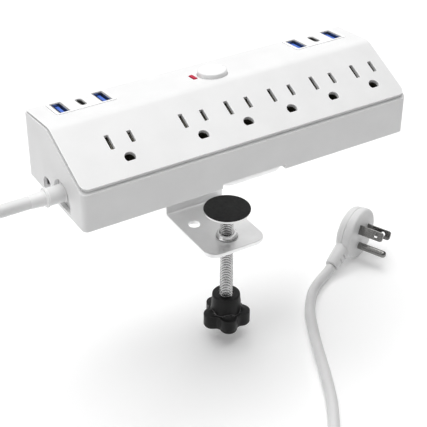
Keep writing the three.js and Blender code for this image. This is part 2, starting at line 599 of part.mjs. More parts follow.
add('clamp_bracket', clampBracket(), LOOKS.steel);
[-1, 1].forEach((side, i) => {
  const x = side * BRACKET_SCREW.x;
  const y = BRACKET_SCREW.y;
  add(`bracket_screw_${i + 1}`, cut(join(
    cylinder(x, y, 4, 0.1, 2.2, 2, 16), cylinder(x, y, 2, 2, 10.6, 2, SMALL_ROUND)),
  block(x - 2.6, x + 2.6, y - 0.45, y + 0.45, 0, 1)), LOOKS.nickel);
});

const BOSS = { r: 5.75, tall: 3, sleeveR: NUT_HOLE_R - GAP, bore: SCREW_R + GAP };
add('threaded_boss', cut(join(
  cylinder(SCREW_AXIS.x, SCREW_AXIS.y, BOSS.r, -BRACKET.throat + GAP, -BRACKET.throat + BOSS.tall),
  cylinder(SCREW_AXIS.x, SCREW_AXIS.y, BOSS.sleeveR, -BRACKET.throat - BRACKET.sheet,
    -BRACKET.throat + 1)),
cylinder(SCREW_AXIS.x, SCREW_AXIS.y, BOSS.bore, -BRACKET.throat - 2 * CLEAR,
  -BRACKET.throat + 2 * CLEAR)), LOOKS.steel);

const PLATE = { top: PAD.top - PAD.rubber - GAP, sheet: 1.8, r: 13.8, collarR: 5, collar: 2 };
const SOCKET = { r: 3.9, roof: 0.8, bottom: -60 }; // turns on the screw's end
add('pad_rubber', geometryOf(solid(new THREE.LatheGeometry([
  [0, PAD.top - PAD.rubber], [PAD.r, PAD.top - PAD.rubber], [PAD.r, PAD.top - 0.4],
  [PAD.r - 0.4, PAD.top], [0, PAD.top],
].map(([r, z]) => new THREE.Vector2(r, z)), ROUND)
  .rotateX(Math.PI / 2)
  .translate(SCREW_AXIS.x, SCREW_AXIS.y, 0))), LOOKS.rubber);
add('pad_plate', cut(join(
  cylinder(SCREW_AXIS.x, SCREW_AXIS.y, PLATE.r, PLATE.top - PLATE.sheet, PLATE.top),
  cylinder(SCREW_AXIS.x, SCREW_AXIS.y, PLATE.collarR, PLATE.top - PLATE.sheet - PLATE.collar, PLATE.top - 1)),
cylinder(SCREW_AXIS.x, SCREW_AXIS.y, SOCKET.r, SOCKET.bottom,
  PLATE.top - SOCKET.roof)), LOOKS.steel);

const THREAD_DEPTH = 0.5;

// The thread is drawn as rings: a plain turned body whose radius steps in and out once a pitch.
function clampScrew() {
  const tip = PLATE.top - SOCKET.roof - GAP;
  const shoulder = PLATE.top - PLATE.sheet - PLATE.collar - GAP;
  const root = SCREW_R - THREAD_DEPTH;
  const end = KNOB.hubTop - KNOB.socket;
  const profile = [[0, end], [root, end]];
  const rings = 12;
  const pitch = (shoulder - 1 - KNOB.hubTop) / rings;
  for (let i = 0; i < rings; i += 1) {
    const z = KNOB.hubTop + i * pitch;
    profile.push([root, z], [SCREW_R, z + pitch / 2]);
  }
  profile.push([root, shoulder - 1], [root, tip], [0, tip]);
  return new THREE.LatheGeometry(profile.map(([r, z]) => new THREE.Vector2(r, z)), 16)
    .rotateX(Math.PI / 2)
    .translate(SCREW_AXIS.x, SCREW_AXIS.y, 0);
}

add('clamp_screw', geometryOf(solid(clampScrew())), LOOKS.steel);

function clampKnob() {
  const { x, y } = SCREW_AXIS;
  const arms = [];
  for (let i = 0; i < KNOB.lobes; i += 1) {
    const angle = (2 * Math.PI * i) / KNOB.lobes + THREE.MathUtils.degToRad(KNOB.turn);
    const out = KNOB.reach - KNOB.lobeR;
    const lobe = cylinder(out, 0, KNOB.lobeR, KNOB.bottom, KNOB.starTop, KNOB.lobeR, 16);
    const arm = block(0, out, -KNOB.armHalf, KNOB.armHalf, KNOB.bottom, KNOB.starTop);
    arms.push(join(lobe, arm).rotateZ(angle).translate(x, y, 0));
  }
  const hub = cylinder(x, y, KNOB.hubR + 0.8, KNOB.starTop - 1, KNOB.hubTop, KNOB.hubR);
  const core = cylinder(x, y, KNOB.hubR, KNOB.bottom, KNOB.starTop + 1);
  const bore = SCREW_R - THREAD_DEPTH + GAP;
  return cut(join(core, hub, ...arms),
    cylinder(x, y, bore, KNOB.hubTop - KNOB.socket - GAP, KNOB.hubTop + 1, bore, 24));
}

add('clamp_knob', clampKnob(), LOOKS.black);

// ---- Cord, coil and plug ------------------------------------------------------------------------

// The coil's turns lie side by side in two layers, and are one ring here.
const BUNDLE = {
  inner: COIL.r - COIL.across * CORD_R,
  outer: COIL.r + COIL.across * CORD_R,
  low: FLOOR_Z + TIE.sheet + GAP,
  high: FLOOR_Z + TIE.sheet + GAP + COIL.high * 2 * CORD_R,
};

function coilSection() {
  const { inner, outer, low, high } = BUNDLE;
  return [[inner, low], [outer, low], [outer, high], [inner, high], [inner, low]]
    .map(([r, z]) => new THREE.Vector2(r, z));
}

add('cord_lead', tube(LEAD_ROUTE, CORD_R, 30, 10), LOOKS.white);
add('cord_coil', geometryOf(solid(new THREE.LatheGeometry(coilSection(), 40)
  .rotateX(Math.PI / 2)
  .translate(COIL.x, COIL.y, 0))), LOOKS.white);
add('cord_tail', tube(TAIL_ROUTE, CORD_R, 30, 10), LOOKS.white);

// A strap round the coil's bundle of turns. The ring's inner face bulges between its corners, so
// the strap stands off it by more there.
function coilTie() {
  const { inner, outer, low, high } = BUNDLE;
  const half = TIE.width / 2;
  const frame = (grow, halfWidth) => block(inner - grow - 2 * GAP, outer + grow,
    -halfWidth, halfWidth, low - grow, high + grow);
  return cut(frame(GAP + TIE.sheet, half), frame(GAP, half + 1))
    .rotateZ(THREE.MathUtils.degToRad(TIE.angle))
    .translate(COIL.x, COIL.y, 0);
}

add('coil_tie', coilTie(), LOOKS.black);

// The plug stands on its rim and its neck. In its own frame +Z points out of its face along the
// blades and -Y along its neck.
const plug = new THREE.Group();
const turn = THREE.MathUtils.degToRad(PLUG.turn);
const dip = THREE.MathUtils.degToRad(PLUG.dip);
const faceOut = new THREE.Vector3(Math.cos(turn), Math.sin(turn), 0);
const neckOut = new THREE.Vector3(
  Math.sin(turn) * Math.cos(dip), -Math.cos(turn) * Math.cos(dip), -Math.sin(dip));
const away = neckOut.clone().negate();
plug.setRotationFromMatrix(new THREE.Matrix4().makeBasis(
  new THREE.Vector3().crossVectors(away, faceOut), away, faceOut));
plug.position.set(PLUG.x, PLUG.y, FLOOR_Z + PLUG.r);
strip.add(plug);

const BLADE = { apart: 12.7, wide: 6.35, thick: 1.5, out: 17.5, in: 4, tipR: 1.6 };
const PIN = { r: 2.4, out: 20.5, from: 11.9 };
const BLADE_LINE = 4; // the blades' line passes this far from the plug's centre
const NECK = { start: 10, startR: 6.3, endR: 5.2, flatten: 0.9, grooves: [24, 28], groove: 1.2 };
const FACE = PLUG.thick / 2;

// The blades are turned an eighth of a turn from the neck.
const onPattern = (geometry) => geometry.rotateZ(Math.PI / 4);

function blade(side) {
  const at = (side * BLADE.apart) / 2;
  const tip = outline([
    [BLADE_LINE - BLADE.wide / 2, FACE - BLADE.in], [BLADE_LINE + BLADE.wide / 2, FACE - BLADE.in],
    [BLADE_LINE + BLADE.wide / 2, FACE + BLADE.out, BLADE.tipR],
    [BLADE_LINE - BLADE.wide / 2, FACE + BLADE.out, BLADE.tipR],
  ]);
  return onPattern(extrudeX(tip, at - BLADE.thick / 2, at + BLADE.thick / 2));
}

function groundPin() {
  const profile = [[0, FACE - BLADE.in], [PIN.r, FACE - BLADE.in], [PIN.r, FACE + PIN.out - 2],
    [PIN.r * 0.75, FACE + PIN.out - 0.6], [0, FACE + PIN.out]];
  return onPattern(new THREE.LatheGeometry(profile.map(([r, z]) => new THREE.Vector2(r, z)), 24)
    .rotateX(Math.PI / 2)
    .translate(0, BLADE_LINE - PIN.from, 0));
}

function plugBody() {
  const r = PLUG.r;
  const shell = new THREE.LatheGeometry([
    [0, -FACE], [r - 4, -FACE], [r - 1.8, -FACE + 0.8], [r - 0.6, -FACE + 2.6], [r - 0.6, -0.4],
    [r - 1.2, -0.2], [r - 1.2, 0.6], [r, 0.8], [r, FACE - 1], [r - 1, FACE], [0, FACE],
  ].map(([radius, z]) => new THREE.Vector2(radius, z)), 36).rotateX(Math.PI / 2);
  const neck = new THREE.CylinderGeometry(NECK.startR, NECK.endR, PLUG.neck - NECK.start, 20)
    .translate(0, -(PLUG.neck + NECK.start) / 2, 0)
    .scale(1, 1, NECK.flatten);
  const grip = CORD_R + 1.1;
  const ring = (radius, width, along) => (
    new THREE.CylinderGeometry(radius, radius, width, 16).translate(0, -along, 0));
  const grooves = NECK.grooves.map((along) => cut(
    ring(NECK.startR + CLEAR, NECK.groove, along), ring(grip, NECK.groove + 1, along)));
  const pockets = [-1, 1].map((side) => onPattern(block(
    (side * BLADE.apart) / 2 - BLADE.thick / 2 - GAP, (side * BLADE.apart) / 2 + BLADE.thick / 2 + GAP,
    BLADE_LINE - BLADE.wide / 2 - GAP, BLADE_LINE + BLADE.wide / 2 + GAP,
    FACE - BLADE.in - GAP, FACE + 1)));
  const socket = onPattern(cylinder(
    0, BLADE_LINE - PIN.from, PIN.r + GAP, FACE - BLADE.in - GAP, FACE + 1));
  return cut(cut(join(shell, neck), ...grooves), ...pockets, socket);
}

add('plug_body', plugBody(), LOOKS.white, plug);
add('plug_blade_line', blade(1), LOOKS.nickel, plug);
add('plug_blade_neutral', blade(-1), LOOKS.nickel, plug);
add('plug_ground_pin', geometryOf(solid(groundPin())), LOOKS.nickel, plug);

export default strip;
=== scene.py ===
import json
import math

import bmesh
import bpy
from mathutils import Matrix, Vector


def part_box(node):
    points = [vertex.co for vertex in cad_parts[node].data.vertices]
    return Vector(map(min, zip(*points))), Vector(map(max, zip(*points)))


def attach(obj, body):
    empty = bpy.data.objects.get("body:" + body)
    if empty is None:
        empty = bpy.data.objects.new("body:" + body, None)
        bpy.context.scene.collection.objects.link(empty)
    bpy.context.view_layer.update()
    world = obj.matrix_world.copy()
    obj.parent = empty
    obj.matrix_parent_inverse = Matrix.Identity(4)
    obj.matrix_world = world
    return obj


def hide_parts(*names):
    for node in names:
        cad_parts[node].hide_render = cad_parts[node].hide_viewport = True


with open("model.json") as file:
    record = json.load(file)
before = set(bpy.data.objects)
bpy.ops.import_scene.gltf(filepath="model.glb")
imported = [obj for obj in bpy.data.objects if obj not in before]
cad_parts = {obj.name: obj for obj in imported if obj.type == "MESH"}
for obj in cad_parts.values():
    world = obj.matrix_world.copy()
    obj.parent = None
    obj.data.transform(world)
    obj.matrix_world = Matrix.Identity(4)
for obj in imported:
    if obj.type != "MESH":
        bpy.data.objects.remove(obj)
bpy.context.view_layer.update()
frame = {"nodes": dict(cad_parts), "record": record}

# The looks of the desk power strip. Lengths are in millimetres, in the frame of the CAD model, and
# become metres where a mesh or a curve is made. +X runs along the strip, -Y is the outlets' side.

MM = 0.001
nodes = frame["nodes"]


def mm_box(node):
    low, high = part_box(node)
    return Vector(low) / MM, Vector(high) / MM


# ---- Driving dimensions -------------------------------------------------------------------------

HOUSING_LOW, HOUSING_HIGH = mm_box("bottom_housing")
LENGTH = HOUSING_HIGH.x - HOUSING_LOW.x
DEPTH = HOUSING_HIGH.y - HOUSING_LOW.y
WALL = 2.2
CORNER_FRONT = 3
CORNER_BACK = 1.5
CORNER_LEAST = 0.8
RIM_DROP = {"panel": 2.5, "deck": 1.3}  # the housing's walls end this far under the cover's faces
COVER_INSET = 0.6  # the cover stands this far inside the housing's outline
COVER_CORNER = 4.6
COVER_EDGE = 0.4  # thickness of the cover's edge, above the groove
COVER_FRONT_Z = 25.4
RIDGE_Y = 3.8
RIDGE_Z = 43.4
RIDGE_R = 10
DECK_FALL = 0.1
BAND = {"inset": 1.6, "top": 0.8, "panel": 2.4, "deck": 0.9, "back": -28.4}  # fills the groove in front
TONGUE = {"inset": 2.5, "wall": 1.7, "deep": 6, "back": 28}  # under the cover, inside the walls
ABOVE = RIDGE_Z + 15

PANEL_ANGLE = math.atan2(RIDGE_Z - COVER_FRONT_Z, RIDGE_Y + DEPTH / 2 - COVER_INSET)
DECK_ANGLE = -math.atan(DECK_FALL)

OUTLETS_X = [-70.3, -26.05, 2.4, 30.85, 59.3, 87.75]
SLOT_DOWN = 18.2
SLOTS = [(-6.35, 9.3), (6.35, 7.5)]  # sideways place and length of the neutral and the line slot
SLOT_WIDTH = 2.5
GROUND_DOWN = 30.1
GROUND_R = 3.1
GROUND_FLAT = 2.1
OUTLET_DEEP = 6  # how far openings are cut below the panel and the deck

MODULES_X = [-74.8, 78.4]
BEZEL = {"length": 35, "width": 16.4, "y": 24.4, "r": 1.2, "proud": 0.3, "sheet": 0.6}
SKIRT = {"half": 16.1, "front": 7.8, "back": 6.2, "low": -7}  # under each bezel
USB_A = {"offset": 12.5, "width": 5.8, "length": 13.3}
USB_C = {"width": 3.2, "length": 8.9}
BUTTON = {"x": 2.6, "y": 15.8, "r": 8.5, "proud": 2.7}
LAMP = {"x": -8.8, "y": 17.6, "width": 2.3, "length": 6.2, "r": 0.4}

BRACKET = {"half": 20, "sheet": 2.5, "front": -33.6, "back": 34.3, "throat": 55, "reach": -20.2}
BRACKET_SCREWS = [(-10.4, 14.6), (10.4, 14.6)]
BRACKET_HOLES = {"driver_r": 3.65, "sink_r": 5.5, "shank_r": 2.3, "nut_r": 5}
HOUSING_SCREWS = [(-97.9, -24), (97.9, -24), (-97.9, 24), (97.9, 24)]
POST = {"r": 4.2, "top": 14.3}  # round each housing screw
PLATEAU = {"half": 24, "top": 5.4}  # raised floor over the bracket
VENT = {"front": 5.2, "back": 15.6, "top": 10.4}
SCREW_Y = -6
SCREW_AT = Matrix.Translation((0, SCREW_Y, 0))
SCREW_R = 4
PITCH = 1.25
THREAD_DEPTH = 0.78
THREAD_SHADE = (3.25, 3.85)  # radii between which the painted root shade gives way to the thread's own colour
PAD_TOP = -35
PAD_R = 14
KNOB = {
    "hub_r": 8.7, "hub_top": -97.5, "star_top": -109.6, "bottom": -119.4, "reach": 15, "turn": 32.7,
    "lobes": 5, "lobe_r": 5.1, "valley": 11.2,
    "blend": 14,  # a higher power makes the corner between a lobe and the valley tighter
}

CORD_R = 3.5
CORD_EXIT = (-122, -8.2, 10.8)
FLOOR_Z = -130
COIL_AT = (-136, -102)
COIL_LANES = [45, 38, 31]  # radii of the turns, from the outer to the inner
TIE = {"width": 10, "sheet": 1, "gap": 0.3, "angle": 20, "corner": 2.6, "end": (-6, 8)}
PLUG = {"at": (121, 22.5, FLOOR_Z + 18), "r": 18, "thick": 12, "neck": 32, "turn": -66, "dip": 21}
NECK_SLOTS = {"half": 3.4, "inner": 3.9, "outer": 8, "half_width": 0.65, "along": (22.5, 26.5)}

GROOVE = 0.3  # clearance between pieces that touch
CHAMFER = 0.2  # broken edge round each opening


# ---- Camera -------------------------------------------------------------------------------------


CAMERA = {"angles": (-31.33, 33.84, 0.27), "lens": 97.1, "at": (-0.29875, -0.48140, 0.33723)}


def make_camera():
    azimuth, elevation, roll = (math.radians(a) for a in CAMERA["angles"])
    camera = bpy.data.objects.new("camera", bpy.data.cameras.new("camera"))
    bpy.context.scene.collection.objects.link(camera)
    camera.data.lens = CAMERA["lens"]
    camera.data.clip_start = 0.02
    turn = Matrix.Rotation(azimuth, 4, "Z") @ Matrix.Rotation(math.pi / 2 - elevation, 4, "X")
    place = Matrix.Translation(CAMERA["at"])
    camera.matrix_world = place @ turn @ Matrix.Rotation(roll, 4, "Z")
    bpy.context.scene.camera = camera


make_camera()


# ---- Finishes -----------------------------------------------------------------------------------


EDGE_REACH = 0.7  # how far from a corner its painted highlight spreads
PATCH_SHARE = (0.35, 0.65)  # the part of a noise's range that goes from one colour to the other
ROUGH_SHARE = (0.3, 0.7)  # the same, for roughness


def noise(tree, vector, size, detail=3.0):
    """A noise whose features are about size millimetres wide."""
    node = tree.nodes.new("ShaderNodeTexNoise")
    node.inputs["Scale"].default_value = 1 / (size * MM)
    node.inputs["Detail"].default_value = detail
    tree.links.new(vector, node.inputs["Vector"])
    return node.outputs["Fac"]


def ramp(tree, factor, low, high, first, last):
    """Blends from first to last as factor goes from low to high."""
    node = tree.nodes.new("ShaderNodeValToRGB")
    node.color_ramp.elements[0].position = low
    node.color_ramp.elements[0].color = (*first, 1)
    node.color_ramp.elements[1].position = high
    node.color_ramp.elements[1].color = (*last, 1)
    tree.links.new(factor, node.inputs["Fac"])
    return node.outputs["Color"]


def bump(tree, height, depth, under=None):
    node = tree.nodes.new("ShaderNodeBump")
    node.inputs["Distance"].default_value = depth * MM
    node.inputs["Strength"].default_value = 1.0
    tree.links.new(height, node.inputs["Height"])
    if under is not None:
        tree.links.new(under, node.inputs["Normal"])
    return node.outputs["Normal"]


def away_from_flat(tree):
    """0 on flat ground, rising close to an edge."""
    rounded_off = tree.nodes.new("ShaderNodeBevel")
    rounded_off.samples = 6
    rounded_off.inputs["Radius"].default_value = EDGE_REACH * MM
    geometry = tree.nodes.new("ShaderNodeNewGeometry")
    dot = tree.nodes.new("ShaderNodeVectorMath")
    dot.operation = "DOT_PRODUCT"
    tree.links.new(rounded_off.outputs["Normal"], dot.inputs[0])
    tree.links.new(geometry.outputs["True Normal"], dot.inputs[1])
    rest = tree.nodes.new("ShaderNodeMath")
    rest.operation = "SUBTRACT"
    rest.inputs[0].default_value = 1.0
    tree.links.new(dot.outputs["Value"], rest.inputs[1])
    return rest.outputs["Value"]


def finish(name, dark, light, rough, patch=18, grain=0.5, depth=0.008, stretch=(1, 1, 1), edge_highlight=None,
           highlight_span=(0.02, 0.15), **constants):
    """Patches of two near colours, roughness that follows finer patches, and grain in the surface.

    stretch scales the grain along X, Y and Z, which draws it out into brush lines. The corner colour
    is a painted highlight that the corners blend to, and the pair after it is how sharp a corner
    starts and ends that painted highlight. constants are the shader's own sockets.
    """
    material = bpy.data.materials.new(name)
    material.use_nodes = True
    tree = material.node_tree
    shader = tree.nodes["Principled BSDF"]
    place = tree.nodes.new("ShaderNodeTexCoord").outputs["Object"]
    mapping = tree.nodes.new("ShaderNodeMapping")
    mapping.inputs["Scale"].default_value = stretch
    tree.links.new(place, mapping.inputs["Vector"])
    lines = mapping.outputs["Vector"]
    color = ramp(tree, noise(tree, place, patch), *PATCH_SHARE, dark, light)
    if edge_highlight is not None:
        # painted highlight: near a corner the colour blends to the given one, standing in for light
        # caught by rounded edges
        highlight_mask = ramp(tree, away_from_flat(tree), *highlight_span, (0, 0, 0), (1, 1, 1))
        mix = tree.nodes.new("ShaderNodeMix")
        mix.data_type = "RGBA"
        tree.links.new(highlight_mask, mix.inputs["Factor"])
        tree.links.new(color, mix.inputs["A"])
        mix.inputs["B"].default_value = (*edge_highlight, 1)
        color = mix.outputs["Result"]
    tree.links.new(color, shader.inputs["Base Color"])
    spread = tree.nodes.new("ShaderNodeMapRange")
    for socket, value in zip(("From Min", "From Max", "To Min", "To Max"), (*ROUGH_SHARE, *rough)):
        spread.inputs[socket].default_value = value
    tree.links.new(noise(tree, lines, patch / 4), spread.inputs["Value"])
    tree.links.new(spread.outputs["Result"], shader.inputs["Roughness"])
    tree.links.new(bump(tree, noise(tree, lines, grain, 2.0), depth), shader.inputs["Normal"])
    for socket, value in constants.items():
        shader.inputs[socket.replace("_", " ")].default_value = value
    return material


def grey(value):
    return (value, value, value)


def woven_finish(name, dark, light, thread):
    """Crossed rows of threads, for the coil's strap."""
    material = finish(name, dark, light, (0.75, 0.9), patch=3, grain=0.2, depth=0.01, Sheen_Weight=0.4)
    tree = material.node_tree
    shader = tree.nodes["Principled BSDF"]
    place = tree.nodes.new("ShaderNodeTexCoord").outputs["Object"]
    normal = None
    for direction in ("X", "Z", "Y"):
        wave = tree.nodes.new("ShaderNodeTexWave")
        wave.bands_direction = direction
        wave.inputs["Scale"].default_value = 0.3 / (thread * MM)
        tree.links.new(place, wave.inputs["Vector"])
        normal = bump(tree, wave.outputs["Fac"], 0.06, normal)
    tree.links.new(normal, shader.inputs["Normal"])
    return material


def thread_painted_shade_finish(name, dark, light, rough):
    """Bright crests, and painted shade in the roots: the colour darkens towards the axis."""
    material = finish(name, dark, light, rough, patch=4, grain=0.2, depth=0.003, Metallic=1.0)
    tree = material.node_tree
    shader = tree.nodes["Principled BSDF"]
    bright = shader.inputs["Base Color"].links[0].from_socket
    place = tree.nodes.new("ShaderNodeTexCoord").outputs["Object"]
    from_axis = tree.nodes.new("ShaderNodeMapping")
    from_axis.inputs["Location"].default_value = (0, -SCREW_Y * MM, 0)
    from_axis.inputs["Scale"].default_value = (1, 1, 0)
    tree.links.new(place, from_axis.inputs["Vector"])
    radius = tree.nodes.new("ShaderNodeVectorMath")
    radius.operation = "LENGTH"
    tree.links.new(from_axis.outputs["Vector"], radius.inputs[0])
    share = tree.nodes.new("ShaderNodeMapRange")
    share.inputs["From Min"].default_value = THREAD_SHADE[0] * MM
    share.inputs["From Max"].default_value = THREAD_SHADE[1] * MM
    tree.links.new(radius.outputs["Value"], share.inputs["Value"])
    mix = tree.nodes.new("ShaderNodeMix")
    mix.data_type = "RGBA"
    tree.links.new(share.outputs["Result"], mix.inputs["Factor"])
    # painted shade: the roots are coloured near black to stand in for the shade between the crests
    mix.inputs["A"].default_value = (0.06, 0.06, 0.06, 1)
    tree.links.new(bright, mix.inputs["B"])
    tree.links.new(mix.outputs["Result"], shader.inputs["Base Color"])
    return material


LOOKS = {
    # housing_white: painted highlight, near white, along the moulded edges
    "housing_white": finish(
        "housing_white", grey(0.79), grey(0.82), (0.38, 0.48), grain=0.35, depth=0.006,
        edge_highlight=grey(0.98), highlight_span=(0.003, 0.03)),
    "port_white": finish("port_white", grey(0.88), grey(0.91), (0.26, 0.34), grain=0.3, depth=0.003),
    "indicator_red": finish(
        "indicator_red", (0.45, 0.004, 0.035), (0.53, 0.006, 0.05), (0.3, 0.4), patch=3, grain=0.6,
        depth=0.004, Specular_IOR_Level=0.2),
    "usb_steel": finish(
        "usb_steel", grey(0.42), grey(0.52), (0.25, 0.4), patch=4, grain=0.2, depth=0.004, Metallic=1.0),
    "usb_blue": finish(
        "usb_blue", (0.035, 0.12, 0.55), (0.05, 0.16, 0.66), (0.35, 0.45), patch=3, grain=0.25),
    "board_green": finish(
        "board_green", (0.02, 0.12, 0.05), (0.03, 0.17, 0.07), (0.3, 0.5), patch=5, grain=0.4),
    "varistor_blue": finish(
        "varistor_blue", (0.03, 0.1, 0.32), (0.05, 0.14, 0.4), (0.2, 0.35), patch=4, grain=0.8),
    "switch_black": finish("switch_black", grey(0.012), grey(0.02), (0.4, 0.55), patch=5, grain=0.3),
    "contact_brass": finish(
        "contact_brass", (0.36, 0.34, 0.29), (0.46, 0.44, 0.38), (0.25, 0.45), patch=5, grain=0.3,
        stretch=(0.1, 1, 1), Metallic=1.0),
    "wire_dark": finish("wire_dark", grey(0.02), grey(0.03), (0.4, 0.5), patch=5, grain=0.4),
    "fastener_steel": finish(
        "fastener_steel", grey(0.45), grey(0.6), (0.22, 0.4), patch=2, grain=0.15, depth=0.005,
        Metallic=1.0),
    # bracket_steel: painted highlight along the plate's edges
    "bracket_steel": finish(
        "bracket_steel", grey(0.89), grey(0.94), (0.42, 0.52), patch=14, grain=0.14, depth=0.003,
        stretch=(1, 0.06, 0.06), edge_highlight=grey(0.95), Metallic=1.0),
    # screw_zinc: painted shade in the thread's roots
    "screw_zinc": thread_painted_shade_finish("screw_zinc", grey(0.78), grey(0.88), (0.18, 0.30)),
    # knob_black: painted highlight, grey, along the star's edges
    "knob_black": finish(
        "knob_black", grey(0.006), grey(0.010), (0.34, 0.44), patch=8, grain=0.28, depth=0.01,
        edge_highlight=grey(0.22), Specular_IOR_Level=0.22),
    "pad_rubber": finish(
        "pad_rubber", grey(0.013), grey(0.019), (0.7, 0.85), patch=6, grain=0.35, depth=0.03),
    "cord_white": finish(
        "cord_white", grey(0.74), grey(0.79), (0.42, 0.55), patch=30, grain=0.5, depth=0.01),
    "tie_black": woven_finish("tie_black", grey(0.012), grey(0.025), 0.6),
    "plug_white": finish(
        "plug_white", grey(0.76), grey(0.80), (0.38, 0.5), patch=14, grain=0.35, depth=0.008),
    "blade_nickel": finish(
        "blade_nickel", (0.22, 0.218, 0.212), (0.27, 0.267, 0.26), (0.2, 0.27), patch=5, grain=0.15,
        depth=0.001, stretch=(1, 1, 0.15), Metallic=1.0),
}


# ---- Meshes -------------------------------------------------------------------------------------

ALONG_X = Matrix(((0, 0, 1, 0), (1, 0, 0, 0), (0, 1, 0, 0), (0, 0, 0, 1)))  # an outline in Y and Z
ON_PANEL = Matrix.Translation((0, RIDGE_Y, RIDGE_Z)) @ Matrix.Rotation(PANEL_ANGLE, 4, "X")
ON_DECK = Matrix.Translation((0, RIDGE_Y, RIDGE_Z)) @ Matrix.Rotation(DECK_ANGLE, 4, "X")


def deck_v(y):
    """How far up the deck a place at y is."""
    return (y - RIDGE_Y) / math.cos(DECK_ANGLE)


def mesh_object(name, points, faces, place=Matrix()):
    mesh = bpy.data.meshes.new(name)
    mesh.from_pydata([(place @ Vector(p)) * MM for p in points], [], faces)
    work = bmesh.new()
    work.from_mesh(mesh)
    bmesh.ops.recalc_face_normals(work, faces=work.faces)
    work.to_mesh(mesh)
    work.free()
    made = bpy.data.objects.new(name, mesh)
    bpy.context.scene.collection.objects.link(made)
    return made


def rounded(corners, steps=8):
    """A closed outline whose corners (u, v, radius) are rounded by arcs."""
    points = []
    for i, (u, v, r) in enumerate(corners):
        corner = Vector((u, v))
        if r == 0:
            points.append(corner)
            continue
        back = (Vector(corners[i - 1][:2]) - corner).normalized()
        on = (Vector(corners[(i + 1) % len(corners)][:2]) - corner).normalized()
        half = back.angle(on) / 2
        centre = corner + (back + on).normalized() * r / math.sin(half)
        first = corner + back * r / math.tan(half) - centre
        last = corner + on * r / math.tan(half) - centre
        start = math.atan2(first.y, first.x)
        sweep = (math.atan2(last.y, last.x) - start + math.pi) % (2 * math.pi) - math.pi
        for k in range(steps + 1):
            angle = start + sweep * k / steps
            points.append(centre + Vector((math.cos(angle), math.sin(angle))) * r)
    return points


def rectangle(u0, u1, v0, v1, r=0.0, steps=8):
    return rounded([(u0, v0, r), (u1, v0, r), (u1, v1, r), (u0, v1, r)], steps)


def around(u, v, width, length, r=0.0, grow=0.0, steps=6):
    """A rectangle about its centre, grown on all sides."""
    half_u, half_v = width / 2 + grow, length / 2 + grow
    return rectangle(u - half_u, u + half_u, v - half_v, v + half_v, r + grow if r else 0.0, steps)


def loft(name, levels, place=Matrix()):
    """A closed solid through outlines of the same number of points: levels are (outline, height)."""
    count = len(levels[0][0])
    points = [(*p, z) for outline, z in levels for p in outline]
    faces = [list(range(count))[::-1], [len(points) - count + i for i in range(count)]]
    for level in range(len(levels) - 1):
        low = level * count
        for i in range(count):
            j = (i + 1) % count
            faces.append([low + i, low + j, low + count + j, low + count + i])
    return mesh_object(name, points, faces, place)


def prism(name, outline, low, high, place=Matrix()):
    return loft(name, [(outline, low), (outline, high)], place)


def box(name, x0, x1, y0, y1, z0, z1, place=Matrix()):
    return prism(name, rectangle(x0, x1, y0, y1), z0, z1, place)


def lathe(name, profile, place=Matrix(), sides=64):
    """Turns a profile of (radius, height) that starts and ends on the axis, or closes on itself."""
    points, rings, faces = [], [], []
    for r, z in profile:
        around_axis = 1 if r < 1e-6 else sides
        rings.append([len(points) + i for i in range(around_axis)])
        for i in range(around_axis):
            angle = 2 * math.pi * i / sides
            points.append((r * math.cos(angle), r * math.sin(angle), z))
    pairs = list(zip(rings, rings[1:]))
    if profile[0][0] > 1e-6:
        pairs.append((rings[-1], rings[0]))
    for a, b in pairs:
        for i in range(sides):
            j = (i + 1) % sides
            corners = [a[i % len(a)], a[j % len(a)], b[j % len(b)], b[i % len(b)]]
            faces.append(list(dict.fromkeys(corners)))
    return mesh_object(name, points, faces, place)


def settle(piece):
    """Bakes the modifiers into the mesh."""
    graph = bpy.context.evaluated_depsgraph_get()
    mesh = bpy.data.meshes.new_from_object(piece.evaluated_get(graph))
    old = piece.data
    piece.modifiers.clear()
    piece.data = mesh
    bpy.data.meshes.remove(old)
    return piece


def gather(tools):
    """One mesh of several solids that don't touch."""
    work = bmesh.new()
    for tool in tools:
        work.from_mesh(tool.data)
        old = tool.data
        bpy.data.objects.remove(tool)
        bpy.data.meshes.remove(old)
    mesh = bpy.data.meshes.new("tools")
    work.to_mesh(mesh)
    work.free()
    made = bpy.data.objects.new("tools", mesh)
    bpy.context.scene.collection.objects.link(made)
    return made


def combine(piece, operation, *tools):
    tool = tools[0] if len(tools) == 1 else gather(tools)
    modifier = piece.modifiers.new(operation, "BOOLEAN")
    modifier.operation = operation
    modifier.solver = "EXACT"
    modifier.object = tool
    settle(piece)
    old = tool.data
    bpy.data.objects.remove(tool)
    bpy.data.meshes.remove(old)
    return piece


def cut(piece, *tools):
    return combine(piece, "DIFFERENCE", *tools)


def bevel(piece, width, segments=3, angle=35):
    modifier = piece.modifiers.new("bevel", "BEVEL")
    modifier.width = width * MM
    modifier.segments = segments
    modifier.limit_method = "ANGLE"
    modifier.angle_limit = math.radians(angle)
    modifier.use_clamp_overlap = False
    return settle(piece)


def smooth(piece, angle=32, weighted=True):
    piece.data.shade_smooth()
    piece.data.set_sharp_from_angle(angle=math.radians(angle))
    if weighted:
        modifier = piece.modifiers.new("normals", "WEIGHTED_NORMAL")
        modifier.keep_sharp = True
        settle(piece)
    return piece


def stand_for(piece, node, slot, body="strip"):
    """The piece takes a CAD node's place, its finish and its body."""
    piece.name = node + "_look"
    piece.data.materials.clear()
    piece.data.materials.append(LOOKS[slot])
    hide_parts(node)
    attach(piece, body)
    return piece


def opening(outline_at, low, place):
    """A tool that cuts a hole down to low and breaks its edge. outline_at gives the grown outline."""
    over = 0.5
    levels = [(outline_at(0), low), (outline_at(0), -CHAMFER), (outline_at(CHAMFER + over), over)]
    return loft("opening", levels, place)


# ---- Cord ---------------------------------------------------------------------------------------

